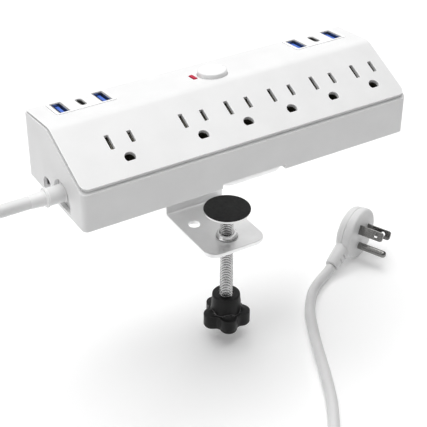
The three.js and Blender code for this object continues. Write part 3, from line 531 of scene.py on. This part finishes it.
# Where the uncoiled cord runs: from the strain relief to the coil, and from the coil to the plug.
LEAD_ROUTE = [
    (-122, -8.2, 10.8), (-136, -8.2, 10.8), (-151, -8.2, 10.5), (-165, -8.2, 7), (-176, -9, -4),
    (-180.5, -11, -22), (-181, -14, -45), (-181, -18, -70), (-181, -24, -94), (-181, -35, -113),
    (-181, -52, -124), (-181, -75.1, -126.5),
]
TAIL_ROUTE = [
    (-109.1, -147, -124.4), (-97, -147.3, -126.4), (-80, -147.5, -126.5), (-62, -147.5, -126.5),
    (-38, -144, -126.5), (-17, -134.5, -126.5), (0, -120, -126.5), (14, -101, -126.5), (27, -77, -126.5),
    (38, -53, -126.5), (48.8, -31, -126.5), (56, -18.5, -126.5), (63.5, -9, -126.5),
    (69.5, -3, -126.5), (76, 1.8, -126.4), (83, 5.6, -126), (89.8, 8.6, -125), (93.2, 10.1, -123.7),
]
OFF_COIL = [(-122.5, -147, -120.3), (-116, -147, -121.9)]  # down from the upper layer
COIL_TURNS = 5.25
POINTS_PER_TURN = 24
CHANGE = 0.18  # share of a turn in which the cord changes lane, at the turn's end
CLIMB_AT = 2.62  # turns before it climbs to the upper layer
FALL = {"by": 0.35, "after": 5.17, "over": 0.08}  # the start of its way down, in millimetres and turns
TIE_HUMP = 0.3  # half the angle over which the cord rises to pass over the strap, in radians


def ease(x):
    x = min(max(x, 0.0), 1.0)
    return x * x * (3 - 2 * x)


def coil_points():
    """Three turns inwards on the floor, then outwards on top of them, rising over the strap."""
    lanes = [*COIL_LANES, *COIL_LANES[::-1]]
    points = []
    for i in range(int(COIL_TURNS * POINTS_PER_TURN) + 1):
        t = i / POINTS_PER_TURN
        lane = min(int(t), len(lanes) - 1)
        following = min(lane + 1, len(lanes) - 1)
        share = ease((t - lane - (1 - CHANGE)) / CHANGE)
        r = lanes[lane] + (lanes[following] - lanes[lane]) * share
        angle = math.pi + 2 * math.pi * t
        off_tie = math.remainder(angle - math.radians(TIE["angle"]), 2 * math.pi)
        over_tie = (TIE["sheet"] + TIE["gap"]) * math.exp(-((off_tie / TIE_HUMP) ** 2))
        layer = 2 * CORD_R * ease((t - CLIMB_AT) / CHANGE)
        fall = FALL["by"] * ease((t - FALL["after"]) / FALL["over"])
        points.append((COIL_AT[0] + r * math.cos(angle), COIL_AT[1] + r * math.sin(angle),
                       FLOOR_Z + CORD_R + layer + over_tie - fall))
    return points


def make_cord():
    curve = bpy.data.curves.new("cord", "CURVE")
    curve.dimensions = "3D"
    curve.bevel_depth = CORD_R * MM
    curve.bevel_resolution = 4
    curve.use_fill_caps = True
    curve.resolution_u = 6
    route = LEAD_ROUTE + coil_points() + OFF_COIL + TAIL_ROUTE
    spline = curve.splines.new("BEZIER")
    spline.bezier_points.add(len(route) - 1)
    for point, place in zip(spline.bezier_points, route):
        point.co = Vector(place) * MM
        point.handle_left_type = "AUTO"
        point.handle_right_type = "AUTO"
    made = bpy.data.objects.new("cord", curve)
    bpy.context.scene.collection.objects.link(made)
    curve.materials.append(LOOKS["cord_white"])
    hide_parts("cord_lead", "cord_coil", "cord_tail")
    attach(made, "strip")
    return made


cord = make_cord()


def make_tie():
    """A strap round the bundle of turns, with its free end folded over."""
    half = len(COIL_LANES) * CORD_R
    low = FLOOR_Z + TIE["sheet"] + TIE["gap"]
    high = low + 4 * CORD_R
    middle = COIL_LANES[1]
    place = Matrix.Translation((*COIL_AT, 0)) @ Matrix.Rotation(math.radians(TIE["angle"]), 4, "Z")
    place = place @ Matrix(((1, 0, 0, 0), (0, 0, 1, 0), (0, 1, 0, 0), (0, 0, 0, 1)))

    def ring(grow, r):
        return rectangle(middle - half - grow, middle + half + grow, low - grow, high + grow, r)

    width, sheet, corner = TIE["width"] / 2, TIE["sheet"], TIE["corner"]
    strap = prism("coil_tie", ring(TIE["gap"] + sheet, corner + sheet), -width, width, place)
    cut(strap, prism("inside", ring(TIE["gap"], corner), -width - 1, width + 1, place))
    on_top = high + 1.1
    start, stop = (middle + along for along in TIE["end"])
    end = prism("end", rectangle(start, stop, on_top, on_top + sheet, 0.4), -width, width, place)
    combine(strap, "UNION", end)
    bevel(strap, 0.25, 2)
    return stand_for(smooth(strap), "coil_tie", "tie_black")


coil_tie = make_tie()


# ---- Housing and cover --------------------------------------------------------------------------


def plan(inset, corner=CORNER_FRONT):
    """The strip's outline from above, moved in."""
    x, y = LENGTH / 2 - inset, DEPTH / 2 - inset
    front, back = max(corner - inset, CORNER_LEAST), max(CORNER_BACK - inset, CORNER_LEAST)
    return rounded([(-x, -y, front), (x, -y, front), (x, y, back), (-x, y, back)], 10)


def under_faces(panel_drop, deck_drop=None):
    """Everything under the slanted panel and the deck, each lowered square to its face."""
    deck_drop = panel_drop if deck_drop is None else deck_drop
    front = -DEPTH / 2 + COVER_INSET
    rise = math.tan(PANEL_ANGLE)
    panel_fall = panel_drop / math.cos(PANEL_ANGLE)
    deck_fall = deck_drop / math.cos(DECK_ANGLE)
    ridge_y = RIDGE_Y + (panel_fall - deck_fall) / (rise + DECK_FALL)

    def panel_z(y):
        return COVER_FRONT_Z + (y - front) * rise - panel_fall

    def deck_z(y):
        return RIDGE_Z - DECK_FALL * (y - RIDGE_Y) - deck_fall

    outline = rounded([
        (DEPTH, -DEPTH, 0), (DEPTH, deck_z(DEPTH), 0),
        (ridge_y, deck_z(ridge_y), RIDGE_R - panel_drop),
        (-DEPTH, panel_z(-DEPTH), 0), (-DEPTH, -DEPTH, 0)], 12)
    return prism("under_faces", outline, -LENGTH, LENGTH, ALONG_X)


def sheet(name, shallow, deep, inset, corner=CORNER_FRONT):
    """A plate under both faces, between two depths."""
    plate = prism(name, plan(inset, corner), 0, ABOVE)
    combine(plate, "INTERSECT", under_faces(shallow))
    return cut(plate, under_faces(deep))


def archway(y0, y1, z0, top, x0, x1):
    r = (y1 - y0) / 2 - 0.01
    outline = rounded([(y0, z0, 0), (y1, z0, 0), (y1, top, r), (y0, top, r)], 10)
    return prism("archway", outline, x0, x1, ALONG_X)


def post(x, y, r, low, high, sides=32):
    profile = [(0, low), (r, low), (r, high), (0, high)]
    return lathe("post", profile, Matrix.Translation((x, y, 0)), sides)


CORD_NOTCH = {"r": 10, "top": 18}
RECESS_GAP = 0.5  # beside the bracket's upper flange, each side


def make_housing():
    housing = prism("housing", plan(0), 0, ABOVE)
    combine(housing, "INTERSECT", under_faces(RIM_DROP["panel"], RIM_DROP["deck"]))
    bevel(housing, 0.3, 3, 25)
    cut(housing, prism("inside", plan(WALL), WALL, ABOVE))
    posts = [post(x, y, POST["r"], 1, POST["top"]) for x, y in HOUSING_SCREWS]
    half = PLATEAU["half"]
    plateau = box("plateau", -half, half, -DEPTH / 2 + 1, DEPTH / 2 - 1, 1, PLATEAU["top"])
    combine(housing, "UNION", plateau, *posts)
    end = -LENGTH / 2
    exit_y = CORD_EXIT[1]
    recess_half = BRACKET["half"] + RECESS_GAP
    recess = box("recess", -recess_half, recess_half, -DEPTH, DEPTH, -1, BRACKET["sheet"] + GROOVE)
    cord_notch = archway(exit_y - CORD_NOTCH["r"], exit_y + CORD_NOTCH["r"], WALL, CORD_NOTCH["top"],
                         end - 1, end + WALL + 1)
    vent = archway(VENT["front"], VENT["back"], -1, VENT["top"], end - 1, end + WALL + 1)
    wells = [lathe("well", [(0, -1), (4.2, -1), (3.4, 0.3), (3.4, 2.6), (1.9, 2.6), (1.9, 15), (0, 15)],
                   Matrix.Translation((x, y, 0)), 32) for x, y in HOUSING_SCREWS]
    cut(housing, recess, cord_notch, vent, *wells)
    return stand_for(smooth(housing), "bottom_housing", "housing_white")


def slot_tool(x, length):
    return opening(lambda grow: around(x, -SLOT_DOWN, SLOT_WIDTH, length, 0.2, grow, 2),
                   -OUTLET_DEEP, ON_PANEL)


def ground_tool(x):
    """Round, with a flat on the lower side."""
    def outline(grow):
        r = GROUND_R + grow
        flat = GROUND_FLAT + grow
        half = math.acos(flat / r)
        steps = 28
        span = 2 * math.pi - 2 * half
        start = -math.pi / 2 + half
        angles = [start + span * k / steps for k in range(steps + 1)]
        return [Vector((x + r * math.cos(a), -GROUND_DOWN + r * math.sin(a))) for a in angles]
    return opening(outline, -OUTLET_DEEP, ON_PANEL)


def circle_at(x, v, r, steps=64):
    angles = [2 * math.pi * k / steps for k in range(steps)]
    return [Vector((x + r * math.cos(a), v + r * math.sin(a))) for a in angles]


def make_cover():
    cover = sheet("cover", 0, COVER_EDGE, COVER_INSET, COVER_CORNER)
    bevel(cover, 0.12, 2, 25)
    middle = COVER_EDGE / 2
    combine(cover, "UNION", sheet("skin", middle, WALL, TONGUE["inset"]))
    band = prism("band", plan(BAND["inset"], COVER_CORNER), 0, ABOVE)
    combine(band, "INTERSECT", under_faces(BAND["top"]))
    cut(band, under_faces(BAND["panel"], BAND["deck"]))
    cut(band, box("back", -LENGTH, LENGTH, BAND["back"], DEPTH, -1, ABOVE + 1))
    combine(cover, "UNION", band)
    tongue = sheet("tongue", middle, TONGUE["deep"], TONGUE["inset"])
    cut(tongue, prism("hollow", plan(TONGUE["inset"] + TONGUE["wall"]), -1, ABOVE))
    cut(tongue, box("back", -LENGTH, LENGTH, TONGUE["back"], DEPTH, -1, ABOVE))
    combine(cover, "UNION", tongue)
    around_bezel = (BEZEL["length"] + 2 * GROOVE, BEZEL["width"] + 2 * GROOVE, BEZEL["r"])
    windows = [opening(lambda grow, x=x: around(x, deck_v(BEZEL["y"]), *around_bezel, grow),
                       -WALL - 1, ON_DECK) for x in MODULES_X]
    button_r = BUTTON["r"] + GROOVE
    button = opening(lambda grow: circle_at(BUTTON["x"], deck_v(BUTTON["y"]), button_r + grow),
                     -OUTLET_DEEP, ON_DECK)
    around_lamp = (LAMP["width"] + 2 * GROOVE, LAMP["length"] + 2 * GROOVE, LAMP["r"])
    lamp = opening(lambda grow: around(LAMP["x"], deck_v(LAMP["y"]), *around_lamp, grow),
                   -OUTLET_DEEP, ON_DECK)
    outlets = [tool for x in OUTLETS_X
               for tool in (*(slot_tool(x + side, length) for side, length in SLOTS), ground_tool(x))]
    cut(cover, *windows, button, lamp, *outlets)
    return stand_for(smooth(cover), "top_cover", "housing_white")


make_housing()
make_cover()


def make_housing_screw(number, x, y):
    """A pan-head screw with a cross recess, seen from below."""
    node = "housing_screw_" + str(number)
    head = lathe(node + "_pan", [
        (0, 23.8), (1.1, 23.8), (1.5, 23), (1.5, 2.3), (3, 2.3), (3, 1.1), (2.6, 0.6), (1.8, 0.36),
        (0, 0.3)],
        Matrix.Translation((x, y, 0)), 32)
    cross = [box("cross", x - a, x + a, y - b, y + b, -1, 1.4) for a, b in ((1.6, 0.32), (0.32, 1.6))]
    combine(cross[0], "UNION", cross[1])
    cut(head, cross[0])
    return stand_for(smooth(head), node, "fastener_steel")


for number, (x, y) in enumerate(HOUSING_SCREWS, 1):
    make_housing_screw(number, x, y)


# ---- USB modules, button and lamp ---------------------------------------------------------------


def make_bezel(number, x):
    v = deck_v(BEZEL["y"])
    top = BEZEL["proud"]

    def outline(grow):
        return around(x, v, BEZEL["length"], BEZEL["width"], BEZEL["r"], grow)

    node = "usb_bezel_" + str(number)
    plate = loft(node + "_plate", [
        (outline(0.18), -BEZEL["sheet"]), (outline(0.18), top - 0.25), (outline(0.1), top - 0.08),
        (outline(-0.07), top)], ON_DECK)
    skirt = box("skirt", x - SKIRT["half"], x + SKIRT["half"], v - SKIRT["front"], v + SKIRT["back"],
                SKIRT["low"], -BEZEL["sheet"] / 2, ON_DECK)
    combine(plate, "UNION", skirt)
    on_plate = Matrix.Translation(ON_DECK.to_3x3() @ Vector((0, 0, top))) @ ON_DECK
    through = SKIRT["low"] - 3
    around_a = (USB_A["width"] + 2 * GROOVE, USB_A["length"] + 2 * GROOVE, 0.3)
    ports = [opening(lambda grow, at=at: around(at, v, *around_a, grow, 3), through, on_plate)
             for at in (x - USB_A["offset"], x + USB_A["offset"])]
    around_c = (USB_C["width"] + 2 * GROOVE, USB_C["length"] + 2 * GROOVE, USB_C["width"] / 2 - 0.01)
    middle = opening(lambda grow: around(x, v, *around_c, grow, 8), through, on_plate)
    cut(plate, *ports, middle)
    return stand_for(smooth(plate), node, "port_white")


for number, x in enumerate(MODULES_X, 1):
    make_bezel(number, x)


def make_button():
    r = BUTTON["r"]
    top = BUTTON["proud"]
    profile = [
        (0, -7), (2.5, -7), (2.5, -4.5), (r + 0.5, -4.5), (r + 0.5, -3.2), (r, -3.2), (r, top - 1.1),
        (r - 0.1, top - 0.7), (r - 0.35, top - 0.35), (r - 0.75, top - 0.12), (r - 1.3, top), (4.3, top),
        (3.9, top - 0.05), (3.5, top - 0.2), (3.1, top - 0.38), (2.6, top - 0.5), (1.5, top - 0.6),
        (0, top - 0.63)]
    place = ON_DECK @ Matrix.Translation((BUTTON["x"], deck_v(BUTTON["y"]), 0))
    button = lathe("power_button_cap", profile, place, 96)
    return stand_for(smooth(button), "power_button", "port_white", "power_key")


make_button()


def make_lamp():
    v = deck_v(LAMP["y"])

    def outline(grow):
        return around(LAMP["x"], v, LAMP["width"], LAMP["length"], LAMP["r"], grow, 4)

    lens = loft("indicator_lens_bar", [
        (outline(0), -3), (outline(0), 0.1), (outline(-0.12), 0.28), (outline(-0.35), 0.4)], ON_DECK)
    foot = box("foot", LAMP["x"] - 1.9, LAMP["x"] + 1.9, v - 4, v + 4, -3.7, -2.6, ON_DECK)
    combine(lens, "UNION", foot)
    return stand_for(smooth(lens), "indicator_lens", "indicator_red")


make_lamp()


# ---- Strain relief ------------------------------------------------------------------------------


def make_grommet():
    """Moulded on the cord: a taper, a ring and a sleeve, and a flange in the housing's wall."""
    end = -LENGTH / 2
    tip = -CORD_EXIT[0] + end  # how far the tip stands out of the wall
    profile = [
        (0, 0), (3.62, 0), (3.72, 0.3), (3.85, 3), (4.05, 6), (4.3, 8.2), (4.5, 8.45), (5.2, 8.5),
        (5.42, 8.65), (5.5, 8.95), (5.5, 9.4), (5.42, 9.7), (5.2, 9.85), (5.0, 9.95), (4.92, 10.3),
        (4.9, 11.5), (4.9, tip + 0.2), (5.2, tip + 0.8), (5.2, 25.2), (0, 25.2)]
    along = Matrix.Translation(CORD_EXIT) @ Matrix.Rotation(math.pi / 2, 4, "Y")
    relief = lathe("cord_strain_relief", profile, along, 48)
    y, r, top = CORD_EXIT[1], CORD_NOTCH["r"] - GROOVE, CORD_NOTCH["top"] - GROOVE
    flange = archway(y - r, y + r, WALL + GROOVE, top, end + 0.8, end + WALL + 0.6)
    bevel(flange, 0.3, 2)
    inside = end + WALL + GROOVE
    keeper = archway(y - 11, y + 11, WALL + GROOVE, top + 1.8, inside, inside + 2)
    combine(relief, "UNION", flange)
    combine(relief, "UNION", keeper)
    return stand_for(smooth(relief), "cord_grommet", "housing_white")


make_grommet()


# ---- Desk clamp ---------------------------------------------------------------------------------


def make_bracket():
    """One bent plate: a flange under the housing, a web down its back, and a plate for the screw."""
    half, thick, throat = BRACKET["half"], BRACKET["sheet"], BRACKET["throat"]
    front, back, reach = BRACKET["front"], BRACKET["back"], BRACKET["reach"]
    low = -throat - thick
    outline = rounded([
        (front, 0, 0), (back - thick, 0, 1.5), (back - thick, -throat, 1.5), (reach, -throat, 0),
        (reach, low, 0), (back, low, 4), (back, thick, 4), (front, thick, 0)], 8)
    bracket = prism("desk_clamp_bracket", outline, -half, half, ALONG_X)
    outer = 40  # past the bracket's back
    upper = prism("upper", rounded(
        [(-half, front, 7), (half, front, 7), (half, outer, 0), (-half, outer, 0)], 10), -20, 5)
    lower = prism("lower", rounded(
        [(-half, reach, 8), (half, reach, 8), (half, outer, 0), (-half, outer, 0)], 10), -70, -20)
    combine(upper, "UNION", lower)
    combine(bracket, "INTERSECT", upper)
    holes = BRACKET_HOLES
    sink = [(0, -1), (holes["sink_r"], -1), (holes["shank_r"], thick + 0.3),
            (holes["shank_r"], thick + 1), (0, thick + 1)]
    through = (low - 2.5, -throat + 5)
    access = [post(x, y, holes["driver_r"], *through, 40) for x, y in BRACKET_SCREWS]
    sinks = [lathe("sink", sink, Matrix.Translation((x, y, 0)), 40) for x, y in BRACKET_SCREWS]
    nut_hole = post(0, SCREW_Y, holes["nut_r"], *through, 40)
    cut(bracket, nut_hole, *access, *sinks)
    bevel(bracket, 0.3, 3, 50)
    return stand_for(smooth(bracket), "clamp_bracket", "bracket_steel")


def make_bracket_screw(number, x, y):
    """A countersunk screw with a cross recess, driven from below."""
    node = "bracket_screw_" + str(number)
    screw = lathe(node + "_flat", [
        (0, 10.6), (1.5, 10.6), (2, 10), (2, 2.6), (3.9, 0.45), (3.9, 0.2), (3.7, 0.1), (0, 0.1)],
        Matrix.Translation((x, y, 0)), 40)
    cross = [box("cross", x - a, x + a, y - b, y + b, -1, 1.5) for a, b in ((2.1, 0.42), (0.42, 2.1))]
    combine(cross[0], "UNION", cross[1])
    cut(screw, cross[0])
    return stand_for(smooth(screw), node, "fastener_steel")


def make_boss():
    top = -BRACKET["throat"] + 3
    bottom = -BRACKET["throat"] - BRACKET["sheet"]
    boss = lathe("threaded_boss_ring", [
        (4.15, bottom), (4.6, bottom), (4.7, bottom + 0.2), (4.7, -54.7), (6.7, -54.7), (6.75, -54.5),
        (6.3, -54.1), (6.1, -53.6), (6.05, top - 0.9), (5.85, top - 0.3), (5.3, top), (4.7, top),
        (4.15, top - 0.5)], SCREW_AT, 64)
    return stand_for(smooth(boss), "threaded_boss", "screw_zinc")


def make_pad():
    rubber = lathe("pad_rubber_disc", [
        (0, PAD_TOP - 1), (PAD_R - 0.3, PAD_TOP - 1), (PAD_R, PAD_TOP - 0.75), (PAD_R, PAD_TOP - 0.4),
        (PAD_R - 0.12, PAD_TOP - 0.12), (PAD_R - 0.4, PAD_TOP), (0, PAD_TOP)], SCREW_AT, 96)
    stand_for(smooth(rubber), "pad_rubber", "pad_rubber", "clamp_pad")
    top = PAD_TOP - 1
    plate = lathe("pad_plate_disc", [
        (0, top), (13.2, top), (13.5, top - 0.2), (13.6, top - 0.7), (13.4, top - 1.4), (12.9, top - 1.9),
        (12, top - 2.1), (5.6, top - 2.1), (5, top - 2.5), (4.9, top - 3.8), (4.7, top - 4.1),
        (3.9, top - 4.1), (3.9, top - 1.1), (0, top - 1.1)], SCREW_AT, 96)
    stand_for(smooth(plate), "pad_plate", "bracket_steel", "clamp_pad")


def make_clamp_screw():
    """A right-handed thread: each ring of the grid climbs one pitch in a turn and joins a later ring."""
    low = KNOB["hub_top"] - 3
    high = PAD_TOP - 6
    sides = 32
    depths = [0.0, 0.05, 0.41, 0.77, 0.77, 0.41, 0.05]  # height of the thread above its root
    per_turn = len(depths)
    root = SCREW_R - THREAD_DEPTH
    rings = int((high - low) / PITCH * per_turn) + 2 * per_turn
    points, faces = [], []
    for i in range(rings):
        for j in range(sides):
            z = low + ((i - per_turn) / per_turn + j / sides) * PITCH
            inside = low < z < high
            fade = ease(min(z - low, high - z) / PITCH)
            r = root + (depths[i % per_turn] * fade if inside else 0)
            angle = 2 * math.pi * j / sides
            points.append((r * math.cos(angle), r * math.sin(angle), min(max(z, low), high)))
    for i in range(rings - 1):
        for j in range(sides):
            k = i if j + 1 < sides else i + per_turn
            if k + 1 < rings:
                right = (j + 1) % sides
                faces.append([i * sides + j, k * sides + right,
                              (k + 1) * sides + right, (i + 1) * sides + j])
    screw = mesh_object("clamp_screw_thread", points, faces, SCREW_AT)
    work = bmesh.new()
    work.from_mesh(screw.data)
    bmesh.ops.remove_doubles(work, verts=work.verts, dist=1e-7)
    bmesh.ops.dissolve_degenerate(work, edges=work.edges, dist=1e-7)
    loose = [v for v in work.verts if not v.link_faces]
    bmesh.ops.delete(work, geom=loose, context="VERTS")
    bmesh.ops.holes_fill(work, edges=[e for e in work.edges if e.is_boundary])
    bmesh.ops.recalc_face_normals(work, faces=work.faces)
    work.to_mesh(screw.data)
    work.free()
    return stand_for(smooth(screw, 30, weighted=False), "clamp_screw", "screw_zinc", "clamp_spindle")


def make_knob():
    """Round lobes about a tall hub."""
    sides = 160
    lobe_r, valley, blend, hub = KNOB["lobe_r"], KNOB["valley"], KNOB["blend"], KNOB["hub_r"]
    lobe_at = KNOB["reach"] - lobe_r

    def star(inset, least=0.0):
        outline = []
        for i in range(sides):
            angle = 2 * math.pi * i / sides
            off = math.remainder(angle - math.radians(KNOB["turn"]), 2 * math.pi / KNOB["lobes"])
            chord = lobe_r ** 2 - (lobe_at * math.sin(off)) ** 2
            lobe = lobe_at * math.cos(off) + math.sqrt(max(chord, 0))
            r = max((lobe ** blend + valley ** blend) ** (1 / blend) - inset, least)
            outline.append(Vector((r * math.cos(angle), r * math.sin(angle))))
        return outline

    def circle(r):
        return circle_at(0, 0, r, sides)

    low, top, crown = KNOB["bottom"], KNOB["star_top"], KNOB["hub_top"]
    levels = [
        (circle(5), low + 0.8), (circle(5.4), low), (star(1.9), low), (star(1.2), low + 0.12),
        (star(0.45), low + 0.55), (star(0), low + 1.4), (star(0), top - 0.75), (star(0.1), top - 0.35),
        (star(0.35), top - 0.1), (star(0.75), top), (star(1.6, 9.6), top + 0.02),
        (star(2.8, 9.55), top + 0.15), (star(4.2, 9.5), top + 0.7), (circle(9.4), top + 1.6),
        (circle(hub + 0.35), crown - 6), (circle(hub), crown - 1), (circle(hub - 0.12), crown - 0.5),
        (circle(hub - 0.45), crown - 0.15), (circle(hub - 0.9), crown), (circle(4.9), crown),
        (circle(4.45), crown - 0.4), (circle(4.4), crown - 1.5)]
    knob = loft("clamp_knob_star", levels, SCREW_AT)
    return stand_for(smooth(knob, 40), "clamp_knob", "knob_black", "clamp_spindle")


make_bracket()
for number, (x, y) in enumerate(BRACKET_SCREWS, 1):
    make_bracket_screw(number, x, y)
make_boss()
make_pad()
make_clamp_screw()
make_knob()


# ---- Plug ---------------------------------------------------------------------------------------


def plug_space():
    """The plug's own frame: +Z out of its face, -Y along its neck."""
    turn, dip = math.radians(PLUG["turn"]), math.radians(PLUG["dip"])
    face = Vector((math.cos(turn), math.sin(turn), 0))
    neck = Vector((math.sin(turn) * math.cos(dip), -math.cos(turn) * math.cos(dip), -math.sin(dip)))
    back = -neck
    side = back.cross(face)
    return Matrix.Translation(PLUG["at"]) @ Matrix((side, back, face)).transposed().to_4x4()


ON_PLUG = plug_space()
ON_PATTERN = ON_PLUG @ Matrix.Rotation(math.pi / 4, 4, "Z")  # the blades are turned from the neck
FACE = PLUG["thick"] / 2
BLADE = {"apart": 12.7, "wide": 6.35, "thick": 1.5, "out": 17.5, "in": 4, "line": 4, "gap": 0.15,
         "hole_at": 12.2, "hole_r": 1.55}
PIN = {"r": 2.4, "out": 20.5, "from": 11.9}


def make_plug_body():
    r = PLUG["r"]
    shell = lathe("plug_shell", [
        (0, -FACE), (r - 5, -FACE), (r - 3.6, -FACE + 0.15), (r - 2.2, -FACE + 0.7),
        (r - 1.2, -FACE + 1.7),
        (r - 0.7, -FACE + 3), (r - 0.6, -0.6), (r - 0.75, -0.35), (r - 1.1, -0.25), (r - 1.1, 0.35),
        (r - 0.6, 0.45), (r - 0.15, 0.65), (r, 1.1), (r, FACE - 1.6), (r - 0.25, FACE - 0.9),
        (r - 0.8, FACE - 0.3), (r - 1.5, FACE), (0, FACE)], ON_PLUG, 96)
    down_neck = ON_PLUG @ Matrix.Rotation(math.pi / 2, 4, "X")

    def section(half_width):
        return [Vector((half_width * math.cos(a), 0.9 * half_width * math.sin(a)))
                for a in (2 * math.pi * k / 48 for k in range(48))]

    neck = loft("neck", [
        (section(6.4), 12), (section(6.25), 17), (section(6.0), 21), (section(5.6), 26),
        (section(5.25), 31), (section(5.05), 31.7), (section(4.6), PLUG["neck"])], down_neck)
    combine(shell, "UNION", neck)
    half, width = NECK_SLOTS["half"], NECK_SLOTS["half_width"]
    slots = [box("slot", -half, half, *sorted((side * NECK_SLOTS["inner"], side * NECK_SLOTS["outer"])),
                 along - width, along + width, down_neck)
             for side in (1, -1) for along in NECK_SLOTS["along"]]
    wide, thick = BLADE["wide"] / 2 + BLADE["gap"], BLADE["thick"] / 2 + BLADE["gap"]
    sockets = [prism("socket", rectangle(
        BLADE["line"] - wide, BLADE["line"] + wide, FACE - BLADE["in"], FACE + 2),
        at - thick, at + thick, ON_PATTERN @ ALONG_X) for at in (-BLADE["apart"] / 2, BLADE["apart"] / 2)]
    cut(shell, *slots, *sockets)
    return stand_for(smooth(shell), "plug_body", "plug_white")


def make_blade(node, at):
    """A flat blade with rounded corners and a hole near its tip."""
    low, high = BLADE["line"] - BLADE["wide"] / 2, BLADE["line"] + BLADE["wide"] / 2
    outline = rounded([(low, FACE - BLADE["in"], 0), (high, FACE - BLADE["in"], 0),
                       (high, FACE + BLADE["out"], 1.7), (low, FACE + BLADE["out"], 1.7)], 6)
    half = BLADE["thick"] / 2
    blade = prism(node + "_flat", outline, at - half, at + half, ON_PATTERN @ ALONG_X)
    hole = prism("hole", circle_at(BLADE["line"], FACE + BLADE["hole_at"], BLADE["hole_r"], 32),
                 at - 2, at + 2, ON_PATTERN @ ALONG_X)
    cut(blade, hole)
    bevel(blade, 0.22, 3, 40)
    return stand_for(smooth(blade), node, "blade_nickel")


def make_pin():
    r, tip = PIN["r"], FACE + PIN["out"]
    place = ON_PATTERN @ Matrix.Translation((0, BLADE["line"] - PIN["from"], 0))
    pin = lathe("plug_ground_pin_round", [
        (0, FACE - BLADE["in"]), (r, FACE - BLADE["in"]), (r, tip - 2.6), (r * 0.97, tip - 1.8),
        (r * 0.86, tip - 1.0), (r * 0.64, tip - 0.4), (r * 0.36, tip - 0.08), (0, tip)], place, 48)
    return stand_for(smooth(pin), "plug_ground_pin", "blade_nickel")


plug_pieces = [
    make_plug_body(), make_blade("plug_blade_line", BLADE["apart"] / 2),
    make_blade("plug_blade_neutral", -BLADE["apart"] / 2), make_pin(),
]


# ---- CAD nodes that stay ------------------------------------------------------------------------

for part in frame["record"]["subparts"]:
    node = nodes[part["node"]]
    if not node.hide_render:
        node.data.materials.clear()
        node.data.materials.append(LOOKS[part["material_slot"]])


# ---- Studio -------------------------------------------------------------------------------------


def make_floor():
    half = 3000
    floor = prism("floor", rectangle(-half, half, -half, half), FLOOR_Z - 20, FLOOR_Z)
    floor.data.materials.append(finish(
        "floor_pale", grey(0.93), grey(0.95), (0.85, 0.95), patch=400, grain=3, depth=0.01,
        Emission_Color=(1, 1, 1, 1), Emission_Strength=0.14))


LIGHTS = [  # name, place and width in metres, and watts
    ("overhead", (-0.05, 0.15, 1.5), 1.6, 25),
    ("left", (-1.5, 0.1, 0.6), 0.9, 3.2),
    ("behind", (0.8, 1.3, 1.1), 2.2, 11),
]
WORLD_STRENGTH = 0.2


def make_light(name, place, size, power):
    """A square area light aimed at the origin."""
    data = bpy.data.lights.new(name, "AREA")
    data.shape = "SQUARE"
    data.size = size
    data.energy = power
    light = bpy.data.objects.new(name, data)
    bpy.context.scene.collection.objects.link(light)
    light.location = place
    light.rotation_euler = (-Vector(place)).to_track_quat("-Z", "Y").to_euler()


def make_studio():
    make_floor()
    world = bpy.data.worlds.new("studio")
    bpy.context.scene.world = world
    world.use_nodes = True
    background = world.node_tree.nodes["Background"]
    background.inputs["Color"].default_value = (1, 1, 1, 1)
    background.inputs["Strength"].default_value = WORLD_STRENGTH
    for light in LIGHTS:
        make_light(*light)
    bpy.context.scene.view_settings.view_transform = "Standard"


make_studio()
